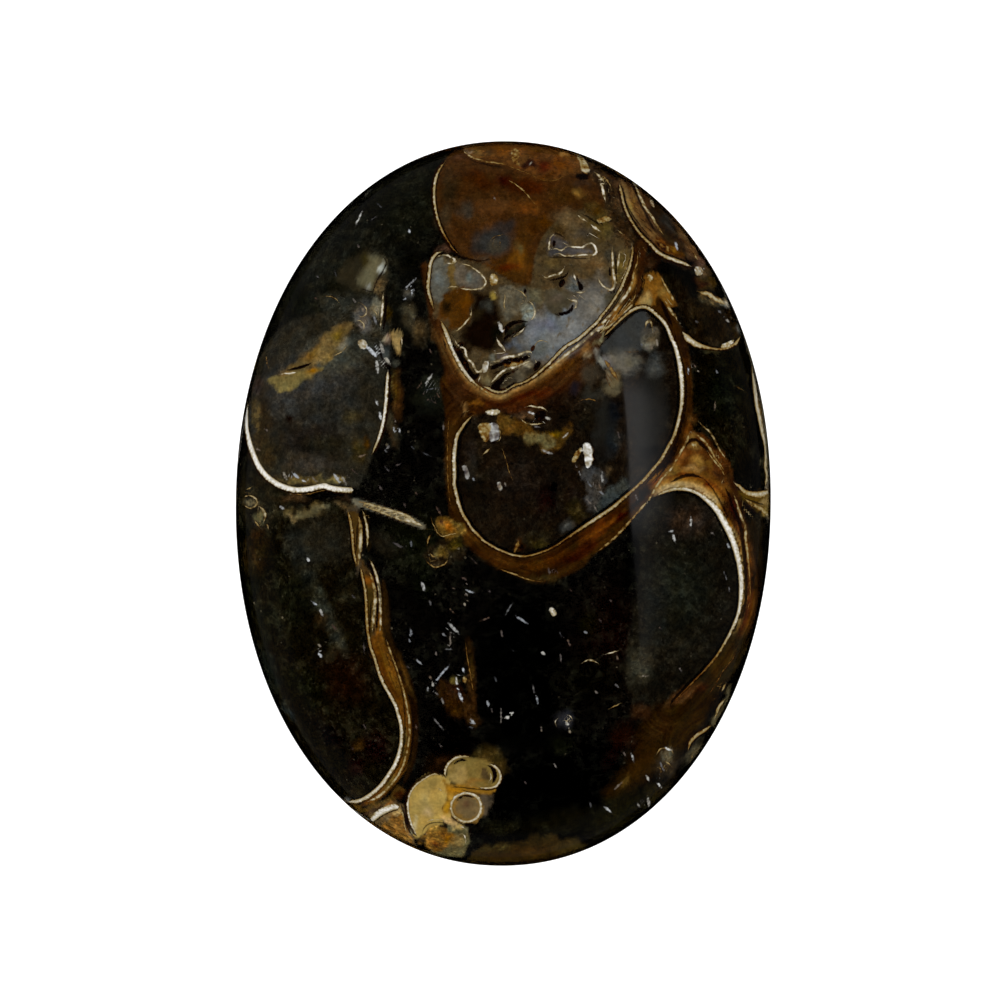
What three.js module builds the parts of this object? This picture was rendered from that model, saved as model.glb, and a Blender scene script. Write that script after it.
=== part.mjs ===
// An oval cabochon cut from silicified lake rock full of snail shells, sold as turritella jasper.
// It is one solid stone: a polished dome, a short steep girdle that a setting would grip, and a
// flat lapped back with a small bevel round its edge. The shell sections are only colour in the
// polished face, so nothing stands up from it.
// Frame: +Z up, the stone lies on its flat back at Z = 0, centred on X = Y = 0, long axis along Y.
import * as THREE from "three";

// Overall size of the cut stone, in millimetres
const LENGTH = 30.0;
const WIDTH = 22.15;
const THICKNESS = 6.0;

// The bevel that keeps the back edge from chipping, at 45 degrees
const BEVEL = 0.35;

// The girdle: the steep side between the bevel and the dome, leaning in a little as it rises
const GIRDLE_TOP = 1.4;
const GIRDLE_LEAN = 0.14;

// The outline is an oval a touch fuller than an ellipse, whose exponent would be 2
const OUTLINE_EXPONENT = 2.08;

// How finely the smooth form is faceted
const SIDES = 96;
const DOME_RINGS = 34;

const STONE_COLOUR = 0x1c1812;

// The profile runs from the middle of the back to the crown. It is in shares of the outline's
// radius across, and in millimetres up.
function stoneProfile() {
  const meanRadius = (LENGTH + WIDTH) / 4;
  const shareOf = (inset) => 1 - inset / meanRadius;
  const domeShare = shareOf(GIRDLE_LEAN);
  const domeHeight = THICKNESS - GIRDLE_TOP;
  const points = [
    new THREE.Vector2(0, 0),
    new THREE.Vector2(shareOf(BEVEL), 0),
    new THREE.Vector2(1, BEVEL),
    new THREE.Vector2(domeShare, GIRDLE_TOP),
  ];
  // The dome is a quarter of an ellipse, in even steps of its angle
  for (let ring = 1; ring < DOME_RINGS; ring++) {
    const angle = (ring / DOME_RINGS) * (Math.PI / 2);
    points.push(
      new THREE.Vector2(domeShare * Math.cos(angle), GIRDLE_TOP + domeHeight * Math.sin(angle)),
    );
  }
  points.push(new THREE.Vector2(0, THICKNESS));
  return points;
}

// Where a point of the unit circle lies on the oval outline: the circle is pushed out to the
// superellipse |x|^n + |y|^n = 1, then stretched to the width and the length.
function ontoOutline(x, y) {
  const radius = Math.hypot(x, y);
  if (radius === 0) return [0, 0];
  const n = OUTLINE_EXPONENT;
  const fullness = radius / (Math.abs(x) ** n + Math.abs(y) ** n) ** (1 / n);
  return [(x * fullness * WIDTH) / 2, (y * fullness * LENGTH) / 2];
}

// The profile turned round the Z axis, with every ring then drawn out to the oval
function stoneGeometry() {
  const geometry = new THREE.LatheGeometry(stoneProfile(), SIDES);
  geometry.rotateX(Math.PI / 2);
  const position = geometry.getAttribute("position");
  for (let i = 0; i < position.count; i++) {
    const [x, y] = ontoOutline(position.getX(i), position.getY(i));
    position.setXY(i, x, y);
  }
  geometry.computeVertexNormals();
  return geometry;
}

function polishedJasper() {
  return new THREE.MeshStandardMaterial({
    name: "polished_jasper",
    color: STONE_COLOUR,
    roughness: 0.06,
    metalness: 0.0,
  });
}

const cabochon = new THREE.Mesh(stoneGeometry(), polishedJasper());
cabochon.name = "cabochon";

const stone = new THREE.Group();
stone.add(cabochon);

export default stone;
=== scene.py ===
# %% [markdown]
# # Turritella jasper cabochon
# The stone is a lake mud full of snail shells that turned to silica. Cut across and polished, it shows
# each shell as a pale wall round a chamber filled with quartz or dark mud. This lesson builds the polished
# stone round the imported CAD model, which gives the size: everything is in that model's frame, in metres.

# %% Load the frame
import math

import bpy
import numpy as np
from mathutils import Euler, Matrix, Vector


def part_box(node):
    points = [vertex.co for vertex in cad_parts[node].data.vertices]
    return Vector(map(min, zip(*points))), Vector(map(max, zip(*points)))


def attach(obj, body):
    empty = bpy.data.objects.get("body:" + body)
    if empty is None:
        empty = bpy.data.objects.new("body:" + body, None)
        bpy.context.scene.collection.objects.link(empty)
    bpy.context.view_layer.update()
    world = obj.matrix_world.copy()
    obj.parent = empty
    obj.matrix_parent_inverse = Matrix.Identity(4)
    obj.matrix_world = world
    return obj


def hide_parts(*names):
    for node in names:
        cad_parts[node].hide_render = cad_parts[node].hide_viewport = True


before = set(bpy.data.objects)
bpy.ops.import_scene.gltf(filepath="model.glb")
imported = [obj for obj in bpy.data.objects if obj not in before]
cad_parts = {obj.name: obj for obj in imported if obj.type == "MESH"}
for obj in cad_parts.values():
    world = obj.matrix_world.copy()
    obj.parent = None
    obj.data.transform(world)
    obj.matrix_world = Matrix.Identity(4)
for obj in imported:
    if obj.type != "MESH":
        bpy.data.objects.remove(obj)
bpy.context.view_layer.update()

low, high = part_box("cabochon")
MM = 0.001
WIDTH = (high[0] - low[0]) / MM
LENGTH = (high[1] - low[1]) / MM
THICKNESS = (high[2] - low[2]) / MM
print("stone of", round(WIDTH, 2), "x", round(LENGTH, 2), "x", round(THICKNESS, 2), "mm")

# %% [markdown]
# ## The form
# A cabochon is ground to an oval on a template, domed by rocking it on the wheel, and lapped flat behind.
# A subdivided sphere could be flattened to that form, but its poles would pinch. Here a square grid of
# points is eased out to a round disc, then stretched to the oval and lifted to the dome, so the faces stay
# nearly even everywhere. Even faces matter because the shells are worked out at these points later on.

# %% Disc of even cells
BEVEL = 0.35
GIRDLE_TOP = 1.4
GIRDLE_LEAN = 0.14
OUTLINE_EXPONENT = 2.08
FACE_CELLS = 268
BACK_CELLS = FACE_CELLS // 2
GIRDLE_ROWS = 6
BEVEL_ROWS = 2


def disc(cells):
    """Points of a square grid moved onto the unit disc. Each square ring becomes a circle of the same
    radius, and a point's share of its side becomes its share of a quarter turn."""
    side = np.linspace(-1, 1, cells + 1)
    across, up = np.meshgrid(side, side)
    wide = np.abs(across) > np.abs(up)
    radius = np.where(wide, across, up)
    safe = np.where(radius == 0, 1, radius)
    turn = np.where(wide, up / safe * math.pi / 4, math.pi / 2 - across / safe * math.pi / 4)
    return radius * np.cos(turn), radius * np.sin(turn)


def rim_of(cells):
    """Numbers of a grid's outermost points, anticlockwise from the lower left corner."""
    numbers = np.arange((cells + 1) ** 2).reshape(cells + 1, cells + 1)
    return np.concatenate([numbers[0, :-1], numbers[:-1, -1], numbers[-1, :0:-1], numbers[:0:-1, 0]])


def cells_of(cells):
    """The four corners of every cell of a grid, anticlockwise."""
    numbers = np.arange((cells + 1) ** 2).reshape(cells + 1, cells + 1)
    corners = [numbers[:-1, :-1], numbers[:-1, 1:], numbers[1:, 1:], numbers[1:, :-1]]
    return np.stack(corners, -1).reshape(-1, 4)


# %% [markdown]
# The profile is the same as the CAD solid's: a flat back, a 45 degree bevel, a short girdle that leans in,
# and a quarter of an ellipse up to the crown. The rings of points crowd together towards the rim, where
# the dome turns down steeply, so its outline stays round from the side.

# %% Stone's points and faces
mean_radius = (LENGTH + WIDTH) / 4
dome_share = 1 - GIRDLE_LEAN / mean_radius
back_share = 1 - BEVEL / mean_radius
dome_height = THICKNESS - GIRDLE_TOP


def oval(x, y):
    """A disc's point on the stone's plan: it is pushed out along its own direction from the circle to the
    superellipse |x|^n + |y|^n = 1, then stretched to half the width and half the length."""
    n = OUTLINE_EXPONENT
    radius = np.hypot(x, y)
    reach = (np.abs(x) ** n + np.abs(y) ** n) ** (1 / n)
    fullness = np.where(radius > 0, radius / np.where(reach > 0, reach, 1), 1)
    return x * fullness * WIDTH / 2, y * fullness * LENGTH / 2


def crowd_to_rim(x, y):
    """Moves a disc's points outwards near the rim: radius r becomes r + 0.8 r^12 (1 - r)."""
    radius = np.hypot(x, y)
    grown = 1 + 0.8 * radius**11 * (1 - radius)
    return x * grown, y * grown


def stone_points():
    """All points in millimetres, and the faces: dome, girdle and bevel rows, a stitching ring, the back."""
    x, y = crowd_to_rim(*disc(FACE_CELLS))
    radius = np.minimum(np.hypot(x, y), 1)
    plan = oval(x * dome_share, y * dome_share)
    height = GIRDLE_TOP + dome_height * np.sqrt(1 - radius**2)
    dome = np.stack([*plan, height], -1).reshape(-1, 3)
    ring = rim_of(FACE_CELLS)
    circle = np.stack([x.ravel()[ring], y.ravel()[ring]])
    circle /= np.hypot(*circle)

    down = np.linspace(0, 1, GIRDLE_ROWS + 1)[1:]
    bevel = np.linspace(0, 1, BEVEL_ROWS + 1)[1:]
    shares = np.concatenate([dome_share + (1 - dome_share) * down, 1 + (back_share - 1) * bevel])
    heights = np.concatenate([GIRDLE_TOP + (BEVEL - GIRDLE_TOP) * down, BEVEL * (1 - bevel)])
    rows = [np.stack([*oval(*(circle * s)), np.full(ring.size, h)], -1) for s, h in zip(shares, heights)]

    bx, by = disc(BACK_CELLS)
    inner = back_share * (1 - 1 / BACK_CELLS)
    back = np.stack([*oval(bx * inner, by * inner), np.zeros_like(bx)], -1).reshape(-1, 3)
    points = np.concatenate([dome, *rows, back])

    quads = [cells_of(FACE_CELLS)]
    above = ring
    for row in range(len(rows)):
        below = len(dome) + row * ring.size + np.arange(ring.size)
        quads.append(np.stack([above, below, np.roll(below, -1), np.roll(above, -1)], -1))
        above = below
    first_back = len(dome) + len(rows) * ring.size
    quads.append(cells_of(BACK_CELLS)[:, ::-1] + first_back)
    inside = rim_of(BACK_CELLS) + first_back
    even, odd = above[::2], above[1::2]
    stitch = [
        np.stack([even, inside, odd], -1),
        np.stack([odd, inside, np.roll(inside, -1)], -1),
        np.stack([odd, np.roll(inside, -1), np.roll(even, -1)], -1),
    ]
    return points, np.concatenate(quads), np.concatenate(stitch)


points, quads, stitches = stone_points()
print(len(points), "points,", 2 * len(quads) + len(stitches), "triangles")

# %% [markdown]
# ## Where the shells lie
# The shells were traced on the photograph of the stone, so their outlines are pixel places, given as short
# lists of points with a smooth curve through them. The photograph looks straight down, and 24.155 of its
# pixels are one millimetre at the girdle. The outline's middle and its slight turn were measured there.

# %% From the photograph to the stone
PIXELS_PER_MM = 24.155
MIDDLE_PX = (503.3, 503.5)
TURN = 0.0125
CAMERA_HEIGHT = 420.0
SHRINK_PER_MM = 0.05
SLIDE_PER_MM = (0.9, -0.7)
BACK_TURN = 0.5
BACK_SLIDE = (1.1, -1.6)
BACK_FADE = 0.35


def on_stone(places):
    """Pixel places as millimetres on the stone's plan: moved to the middle, turned back, y upwards."""
    off = (np.asarray(places, float) - MIDDLE_PX) / PIXELS_PER_MM
    x = off[:, 0] * math.cos(TURN) + off[:, 1] * math.sin(TURN)
    y = off[:, 0] * math.sin(TURN) - off[:, 1] * math.cos(TURN)
    return np.stack([x, y], -1)


def smooth(share):
    """Eases 0 to 1: 3 s^2 - 2 s^3, flat at both ends."""
    s = np.clip(share, 0, 1)
    return s * s * (3 - 2 * s)


def section_plane(points):
    """Where each point of the stone looks up the pattern, in millimetres. On the dome it is the place where
    the camera sees the point, x and y grown by H / (H - height above the girdle). Below the dome the plane
    slides sideways with depth, as slanting shell walls do, and on the back it turns a little too."""
    height = points[:, 2] - BEVEL
    seen = points[:, :2] * (CAMERA_HEIGHT / (CAMERA_HEIGHT - np.maximum(height, 0)))[:, None]
    depth = np.maximum(GIRDLE_TOP - points[:, 2], 0)
    to_middle = 1 - np.hypot(points[:, 0] / WIDTH * 2, points[:, 1] / LENGTH * 2)
    inward = smooth(np.where(points[:, 2] < 1e-6, to_middle, 0) / BACK_FADE)
    turn = BACK_TURN * inward
    slid = seen * (1 - SHRINK_PER_MM * depth)[:, None]
    x = slid[:, 0] * np.cos(turn) - slid[:, 1] * np.sin(turn)
    y = slid[:, 0] * np.sin(turn) + slid[:, 1] * np.cos(turn)
    x = x + SLIDE_PER_MM[0] * depth + BACK_SLIDE[0] * inward
    y = y + SLIDE_PER_MM[1] * depth + BACK_SLIDE[1] * inward
    return np.stack([x, y], -1)


plane = section_plane(points)

# %% [markdown]
# Shell walls are smooth, but the minerals between them grew into each other with ragged borders. So a second
# plane is shaken by a sum of waves of two sizes, and stains and clouds are laid out on that one.

# %% Ragged plane
WAVES = 24
BROAD_MM, BROAD_SHAKE = 0.9, 0.05
CLOSE_MM, CLOSE_SHAKE = 0.35, 0.032


def waves(where, size, seed):
    """Smooth noise between about -1 and 1: a sum of cosine waves of random direction and phase, with
    lengths near size millimetres, over the root of half their number."""
    dice = np.random.default_rng(seed)
    turn = dice.uniform(0, 2 * math.pi, WAVES)
    steps = 2 * math.pi / (size * dice.uniform(0.7, 1.6, WAVES))
    phase = dice.uniform(0, 2 * math.pi, WAVES)
    ways = np.stack([np.cos(turn), np.sin(turn)]) * steps
    return np.cos(where @ ways + phase).sum(1) / math.sqrt(WAVES / 2)


def shaken(where):
    """The plane moved by up to about 0.1 mm at a size of 0.9 mm, and 0.05 mm at a size of 0.35 mm."""
    broad = np.stack([waves(where, BROAD_MM, 11), waves(where, BROAD_MM, 12)], -1)
    close = np.stack([waves(where, CLOSE_MM, 13), waves(where, CLOSE_MM, 14)], -1)
    return where + BROAD_SHAKE * broad + CLOSE_SHAKE * close


ragged = shaken(plane)
print("shaken by up to", round(float(np.abs(ragged - plane).max()), 3), "mm")

# %% [markdown]
# Every shape is measured as a distance: how far each point of the stone is from a curve, with a sign that
# says on which side it lies. A distance changes evenly from point to point, so the shader can cut it at any
# width and the edge comes out sharp, much finer than the mesh.

# %% Curves and distances
SPAN_STEPS = 6
PAIRS_AT_ONCE = 2000000


def curve(places, closed=False):
    """A Catmull-Rom curve through the places, as a fine polyline: between two points it is the cubic that
    leaves each of them in the direction from its one neighbour to the other."""
    p = on_stone(places)
    if closed:
        p = np.concatenate([p[-1:], p, p[:2]])
    else:
        p = np.concatenate([2 * p[:1] - p[1:2], p, 2 * p[-1:] - p[-2:-1]])
    t = np.linspace(0, 1, SPAN_STEPS, endpoint=False)[None, :, None]
    a, b, c, d = (q[:, None, :] for q in (p[:-3], p[1:-2], p[2:-1], p[3:]))
    cubic = 2 * b + (c - a) * t + (2 * a - 5 * b + 4 * c - d) * t**2 + (3 * b - a - 3 * c + d) * t**3
    return np.concatenate([(cubic / 2).reshape(-1, 2), p[-2:-1]])


def measure(line, reach, where):
    """For the points within reach of a polyline: their numbers, the distance to it (positive on its left),
    and how far along it the nearest place is, from 0 to 1."""
    inside = (where > line.min(0) - reach) & (where < line.max(0) + reach)
    near = np.flatnonzero(inside.all(1))
    start, step = line[:-1], np.diff(line, axis=0)
    length = np.maximum(np.hypot(*step.T), 1e-9)
    before = np.concatenate([[0], np.cumsum(length)])
    distance, along = np.empty(near.size), np.empty(near.size)
    for part in np.array_split(np.arange(near.size), 1 + near.size * len(step) // PAIRS_AT_ONCE):
        off = where[near[part], None, :] - start
        share = np.clip((off * step).sum(-1) / length**2, 0, 1)
        away = off - share[..., None] * step
        gap = np.hypot(away[..., 0], away[..., 1])
        best = gap.argmin(1)
        rows = np.arange(part.size)
        side = step[best, 0] * off[rows, best, 1] - step[best, 1] * off[rows, best, 0]
        distance[part] = gap[rows, best] * np.where(side < 0, -1, 1)
        along[part] = (before[best] + share[rows, best] * length[best]) / before[-1]
    return near, distance, along


def depth_inside(places, reach, where):
    """Distance to a closed curve, positive inside it. A point is inside if a ray from it to the right
    crosses the curve an odd number of times."""
    line = curve(places, closed=True)
    near, distance, _ = measure(line, reach, where)
    crossings = np.zeros(near.size, int)
    x, y = where[near].T
    for (ax, ay), (bx, by) in zip(line[:-1], line[1:]):
        between = (ay > y) != (by > y)
        crossings += between & (x < ax + (y - ay) * (bx - ax) / (by - ay if by != ay else 1))
    return near, np.abs(distance) * np.where(crossings % 2, 1, -1)


# %% [markdown]
# ## The minerals
# The fillings are named for what fills such shells: near-black mud, iron-stained chalcedony from dark brown
# through amber to gold, smoky quartz, and milky blue-grey chalcedony. Colours are sRGB hex values of the
# polished stone, turned to linear light by one function.

# %% Palette


def linear(text):
    """An sRGB hex colour as linear light: each channel c is c / 12.92 where dark, else
    ((c + 0.055) / 1.055) ^ 2.4."""
    c = np.array([int(text[i : i + 2], 16) for i in (1, 3, 5)]) / 255
    return np.where(c <= 0.04045, c / 12.92, ((c + 0.055) / 1.055) ** 2.4)


MUD = "#040302"

# %% [markdown]
# The ground is painted like a picture, one soft-edged region over another, into a colour kept at every
# point. Next to it a second attribute keeps four things about the filling there: how mottled, how cracked,
# how banded and how dusty it is.

# %% Painting the ground
ground = np.tile(linear(MUD), (len(points), 1))
texture = np.tile(np.array([0.6, 0.0, 0.0, 0.8]), (len(points), 1))


def lay(near, cover, colour, grain):
    """Mixes a colour, and a grain of (mottle, cracks, bands, dust) if one is given, over the ground."""
    cover = cover[:, None]
    ground[near] = ground[near] * (1 - cover) + linear(colour) * cover
    if grain:
        texture[near] = texture[near] * (1 - cover) + np.array(grain) * cover


def pour(colour, places, soft=0.1, strength=1.0, grain=None):
    """Fills a closed curve right up to it, as a chamber is filled up to its shell. soft is the width of
    the edge in millimetres."""
    near, depth = depth_inside(places, soft, plane)
    lay(near, strength * smooth(depth / soft + 0.5), colour, grain)


def stain(colour, places, soft=0.12, strength=1.0, grain=None):
    """Fills a closed curve with a ragged border."""
    near, depth = depth_inside(places, soft, ragged)
    lay(near, strength * smooth(depth / soft + 0.5), colour, grain)


def cloud(colour, oval_px, soft=0.9, strength=1.0, grain=None):
    """Fills an ellipse (middle x, y, radii, degrees turned) whose cover fades over the outer share soft of
    its radius."""
    x, y, wide, high, degrees = oval_px
    off = ragged - on_stone([(x, y)])[0]
    turn = TURN + math.radians(degrees)
    u = (off[:, 0] * math.cos(turn) + off[:, 1] * math.sin(turn)) * PIXELS_PER_MM / wide
    v = (off[:, 1] * math.cos(turn) - off[:, 0] * math.sin(turn)) * PIXELS_PER_MM / high
    radius = np.hypot(u, v)
    near = np.flatnonzero(radius < 1)
    lay(near, strength * smooth((1 - radius[near]) / soft), colour, grain)


def skirt(layers, places, side=1, fade=0.4):
    """Growth layers along one side of a curve, 1 for its left. A layer is (millimetres from the curve,
    colour, strength), and between two layers both run evenly. All of it fades over the curve's first and
    last stretch."""
    far, shades, strengths = zip(*layers)
    line = curve(places)
    near, distance, along = measure(line, far[-1], plane)
    out = distance * side
    length = np.hypot(*np.diff(line, axis=0).T).sum()
    ends = smooth(np.minimum(along, 1 - along) * length / fade)
    cover = np.interp(out, far, strengths, left=0) * ends * smooth(out / 0.04 + 1)
    lights = np.array([linear(shade) for shade in shades])
    mixed = np.stack([np.interp(out, far, lights[:, channel]) for channel in range(3)], -1)
    ground[near] = ground[near] * (1 - cover[:, None]) + mixed * cover[:, None]


def paint(picture):
    """Lays the rows of a table one over another. A row is a brush and what it takes, and a row that starts
    with a colour is a cloud."""
    for first, *rest in picture:
        if isinstance(first, str):
            cloud(first, *rest)
        else:
            first(*rest)


PLAIN = (0.4, 0.0, 0.0, 0.0)
EVEN = (0.22, 0.0, 0.0, 0.0)
SPECKLED = (0.9, 0.0, 0.0, 1.0)
SMOKY = (0.6, 0.15, 0.0, 0.3)
STREAKY = (0.45, 0.0, 1.0, 0.0)
CRACKED = (0.6, 1.0, 0.0, 0.1)

# %% [markdown]
# ### Mud and the left whorl
# The mud between the shells is nearly black in the middle and turns a little olive and brown towards the
# sides. Over the upper left its olive-grey is partly a painted reflection, a soft veil of light laid into the
# mud's colour. Each picture below is a table of brush strokes. A row that starts with a colour is a cloud, an
# oval given as middle, radii and turn.

# %% Mud
mud_and_painted_veil_picture = [
    # painted reflection: these two olive-grey clouds over the upper left are partly a soft veil of light on
    # the mud
    ("#11110b", (325, 270, 110, 130, 60), 0.8, 1.0, (0.7, 0.0, 0.0, 0.45)),
    ("#0e0e07", (410, 200, 60, 70, 0), 0.8, 1.0, (0.6, 0.0, 0.0, 0.5)),
    ("#000000", (520, 670, 60, 110, 0), 0.5, 1.0, (0.6, 0.0, 0.0, 0.25)),
    ("#000000", (560, 790, 110, 60, 20), 0.5, 1.0, (0.6, 0.0, 0.0, 0.3)),
    ("#010000", (450, 740, 34, 60, 0), 0.6, 1.0, (0.6, 0.0, 0.0, 0.3)),
    ("#050601", (560, 745, 20, 16, 0)),
    ("#0a1000", (590, 625, 16, 20, 0)),
    ("#070800", (345, 306, 50, 44, 40), 0.9, 0.6),
    ("#040400", (255, 560, 50, 110, 0), 0.7, 1.0, SPECKLED),
    ("#1d1201", (258, 555, 24, 32, 0)),
    ("#1b170b", (262, 500, 50, 40, 0), 0.8),
    ("#342411", (292, 498, 22, 7, 0)),
    ("#080902", (415, 540, 50, 60, 0)),
    ("#080500", (722, 410, 46, 90, 0), 0.4, 1.0, SPECKLED),
    ("#050702", (722, 392, 30, 40, 0)),
    ("#080100", (612, 640, 55, 90, 0)),
    ("#030200", (590, 680, 60, 40, 0)),
    ("#1a1d14", (430, 395, 24, 26, 0), 0.7, 0.6),
    ("#1b170e", (385, 545, 26, 14, -20), 0.9, 0.8),
    ("#020400", (424, 585, 14, 34, 0), 0.9, 0.8),
    ("#010000", (446, 615, 26, 14, 0), 0.9, 0.8),
]
paint(mud_and_painted_veil_picture)

# %% [markdown]
# The left whorl is cut nearly across, so its chamber is a round patch of smoky grey quartz. A tan crust
# lies along the thick white wall below it and is laid on as flat clouds.

# %% Left whorl
left_chamber = [
    (252, 392), (262, 352), (290, 322), (330, 312), (362, 322), (382, 345), (386, 385), (384, 414),
    (377, 440), (368, 464), (357, 486), (330, 487), (300, 488), (272, 480), (257, 464), (249, 432),
]
left_whorl_picture = [
    (pour, "#232017", left_chamber, 0.2, 1.0, SMOKY),
    ("#32302c", (305, 385, 75, 45, 25), 0.8),
    ("#262520", (330, 412, 55, 30, 0), 0.8),
    ("#1c1712", (310, 440, 50, 28, 0), 0.8),
    ("#261c0c", (262, 420, 14, 55, 0), 0.8),
    ("#4d4124", (256, 418, 5, 26, 0)),
    ("#292823", (251.5, 422, 3, 16, 3), 0.6),
    ("#281f0d", (266, 455, 20, 24, 0), 0.8),
    ("#39392f", (340, 350, 60, 30, 30), 0.8),
    ("#1e1b11", (330, 444, 42, 14, 0), 0.8),
    ("#3c352b", (312, 464, 40, 12, 0)),
    ("#332c18", (352, 416, 16, 12, 0)),
    ("#2a2108", (360, 450, 12, 18, 0), 0.8),
    ("#3c2c16", (300, 481, 44, 7, 0), 0.8),
    ("#594e2c", (304, 480, 34, 6, 0), 0.7, 1.0, (0.6, 0.6, 0.0, 0.0)),
    ("#7c6e40", (336, 480, 12, 5, 10), 0.7, 1.0, (0.6, 0.6, 0.0, 0.0)),
    ("#3d2400", (368, 442, 5, 9, 15), 0.7),
    ("#110400", (290, 420, 4, 6, 0), 0.8),
]
paint(left_whorl_picture)

# %% [markdown]
# Above it two shells are cut at a slant, so streaks of them show: a golden one, a pale one, two olive
# lenses and a mottled patch. Each is a curve filled up to its border.

# %% Streaks above the left whorl
mottled_patch = [(318, 296), (352, 292), (372, 296), (384, 304), (388, 330), (374, 343), (352, 342),
                 (332, 326)]
golden_streak = [
    (348, 324), (350, 333), (340, 346), (324, 358), (302, 372), (284, 378), (272, 380), (283, 370),
    (300, 360), (318, 344), (333, 327),
]
pale_streak = [
    (275, 376), (285, 375), (299, 372), (310, 370), (318, 367), (324, 366), (320, 372), (310, 377),
    (302, 381), (298, 386), (290, 391), (280, 391), (273, 388), (270, 385), (271, 380),
]
olive_lens = [(377, 252), (386, 262), (380, 278), (372, 291), (345, 288), (336, 278), (346, 264), (361, 253)]
bright_lens = [
    (377, 255.6), (385, 261), (383, 268.8), (378.5, 275.8), (376, 281.5), (372.7, 289.8), (365.8, 287.3),
    (359.4, 283.8), (360, 275), (366, 266), (370, 258),
]
tan_patch = [(390, 333), (396, 330), (401, 333), (403, 340), (402, 347), (399, 352), (395, 346), (391, 340)]
streaks_above_the_left_whorl_picture = [
    (stain, "#26251d", mottled_patch, 0.4, 0.85, CRACKED),
    ("#504b44", (364, 318, 13, 22, 0), 0.8, 0.9, CRACKED),
    ("#75715d", (376, 308, 8, 12, 0), 0.8, 0.9, CRACKED),
    (stain, "#63502b", golden_streak, 0.25, 1.0, (0.5, 0.0, 0.0, 0.0)),
    ("#574510", (338, 334, 13, 7, 38)),
    ("#634818", (312, 354, 16, 7, 38)),
    (stain, "#6f6135", pale_streak, 0.12, 1.0, PLAIN),
    ("#7f5600", (312, 371, 12, 5, 10)),
    ("#6e6c5e", (342, 346, 12, 7, 45), 0.8),
    ("#6b572b", (330, 356, 14, 6, 38), 0.8),
    (stain, "#282316", olive_lens, 0.3, 1.0, EVEN),
    ("#332c11", (366, 262, 10, 12, 20), 0.8),
    (stain, "#5d5840", bright_lens, 0.35, 1.0, EVEN),
    ("#a6aaa0", (381, 267, 4, 8, -15), 0.8),
    ("#838378", (368.5, 286, 6, 3.5, -15), 0.8),
    ("#4c3d24", (380, 288, 7, 12, 0), 0.8, 1.0, SPECKLED),
    (stain, "#857044", tan_patch, 0.12, 1.0, PLAIN),
    ("#9c8371", (387, 340, 5, 7, 0)),
    ("#2e2200", (387.5, 315, 4, 14, 0)),
    ("#342e1f", (409, 316, 12, 17, 0), 0.9, 0.9),
    ("#463922", (418, 332, 13, 18, 0), 0.9, 0.7),
    ("#352a24", (257, 385, 6, 12, 0)),
    ("#36220c", (398, 395, 6, 34, 0), 0.7, 1.0, STREAKY),
    ("#382504", (396, 388, 4, 22, 0), 0.8),
    ("#50421d", (393, 384, 2, 20, 0)),
    ("#30291a", (392, 425, 6, 26, 14), 0.8, 1.0, STREAKY),
    ("#291b0b", (391, 436, 3.5, 14, 22)),
    ("#393c39", (383, 355, 9, 13, 0), 0.8, 1.0, PLAIN),
    ("#807c6b", (385, 341, 6, 4, 0), 0.8),
    ("#3f3d36", (408, 295, 8, 8, 0)),
    ("#606258", (367, 191, 6, 5, 0)),
    ("#3b3d35", (396, 362, 4, 6, 0)),
    ("#080903", (300, 300, 16, 22, 40)),
    ("#030300", (412, 262, 12, 14, 0)),
]
paint(streaks_above_the_left_whorl_picture)

# %% [markdown]
# Just below the white wall the rock has light tan clouds, with darker, cracked places beside them.

# %% Below the left whorl
tan_cloud = [(286, 513), (302, 510), (316, 504), (326, 506), (331, 511), (320, 516), (308, 519), (299, 527),
             (288, 527)]
below_the_left_whorl_picture = [
    (stain, "#61512b", tan_cloud, 0.3, 1.0, (0.6, 0.3, 0.0, 0.1)),
    ("#342314", (345, 497, 8, 4, 0)),
    ("#110b07", (257, 517, 9, 14, -20), 0.7, 1.0, CRACKED),
    ("#575235", (261, 517, 8, 8, 0), 0.8, 1.0, PLAIN),
    ("#635e48", (250, 503, 7, 5, 0)),
]
paint(below_the_left_whorl_picture)

# %% [markdown]
# The lower left whorl is a long chamber of dark, speckled mud. The wall on its right is double, and amber
# chalcedony fills the space between the two, streaked along them.

# %% Lower left whorl
lower_chamber = [
    (345, 500), (352, 530), (356, 566), (362, 600), (364, 640), (378, 678), (396, 716), (400, 738),
    (392, 768), (372, 792), (350, 799), (318, 776), (286, 735), (262, 690), (250, 640), (262, 580),
    (280, 520), (310, 505),
]
between_walls = [
    (366, 600), (380, 600), (383, 634), (394, 655), (405, 680), (412, 706), (413, 735), (409, 762),
    (396, 783), (378, 800), (362, 805), (372, 795), (389, 777), (398, 758), (401, 735), (398, 714),
    (388, 692), (376, 668), (368, 640),
]
outer_brown = [
    (382, 580), (389, 600), (391, 634), (400, 655), (411, 680), (417, 706), (418, 740), (414, 764),
    (404, 784), (408, 760), (411, 735), (409, 706), (401, 680), (389, 655), (383, 634),
]
upper_olive_band = [(349, 508), (357, 508), (361, 530), (361, 566), (356, 574), (353, 545)]
lower_olive_band = [(361, 562), (366, 566), (376, 596), (376, 632), (368, 632), (366, 600)]
dark_sliver = [(363, 511), (367, 520), (370, 545), (366, 549)]
crescent_filling = [(346, 803), (360, 806), (375, 805), (388, 797), (398, 784), (404, 788), (394, 800),
                    (380, 809), (362, 811), (350, 808)]
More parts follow.
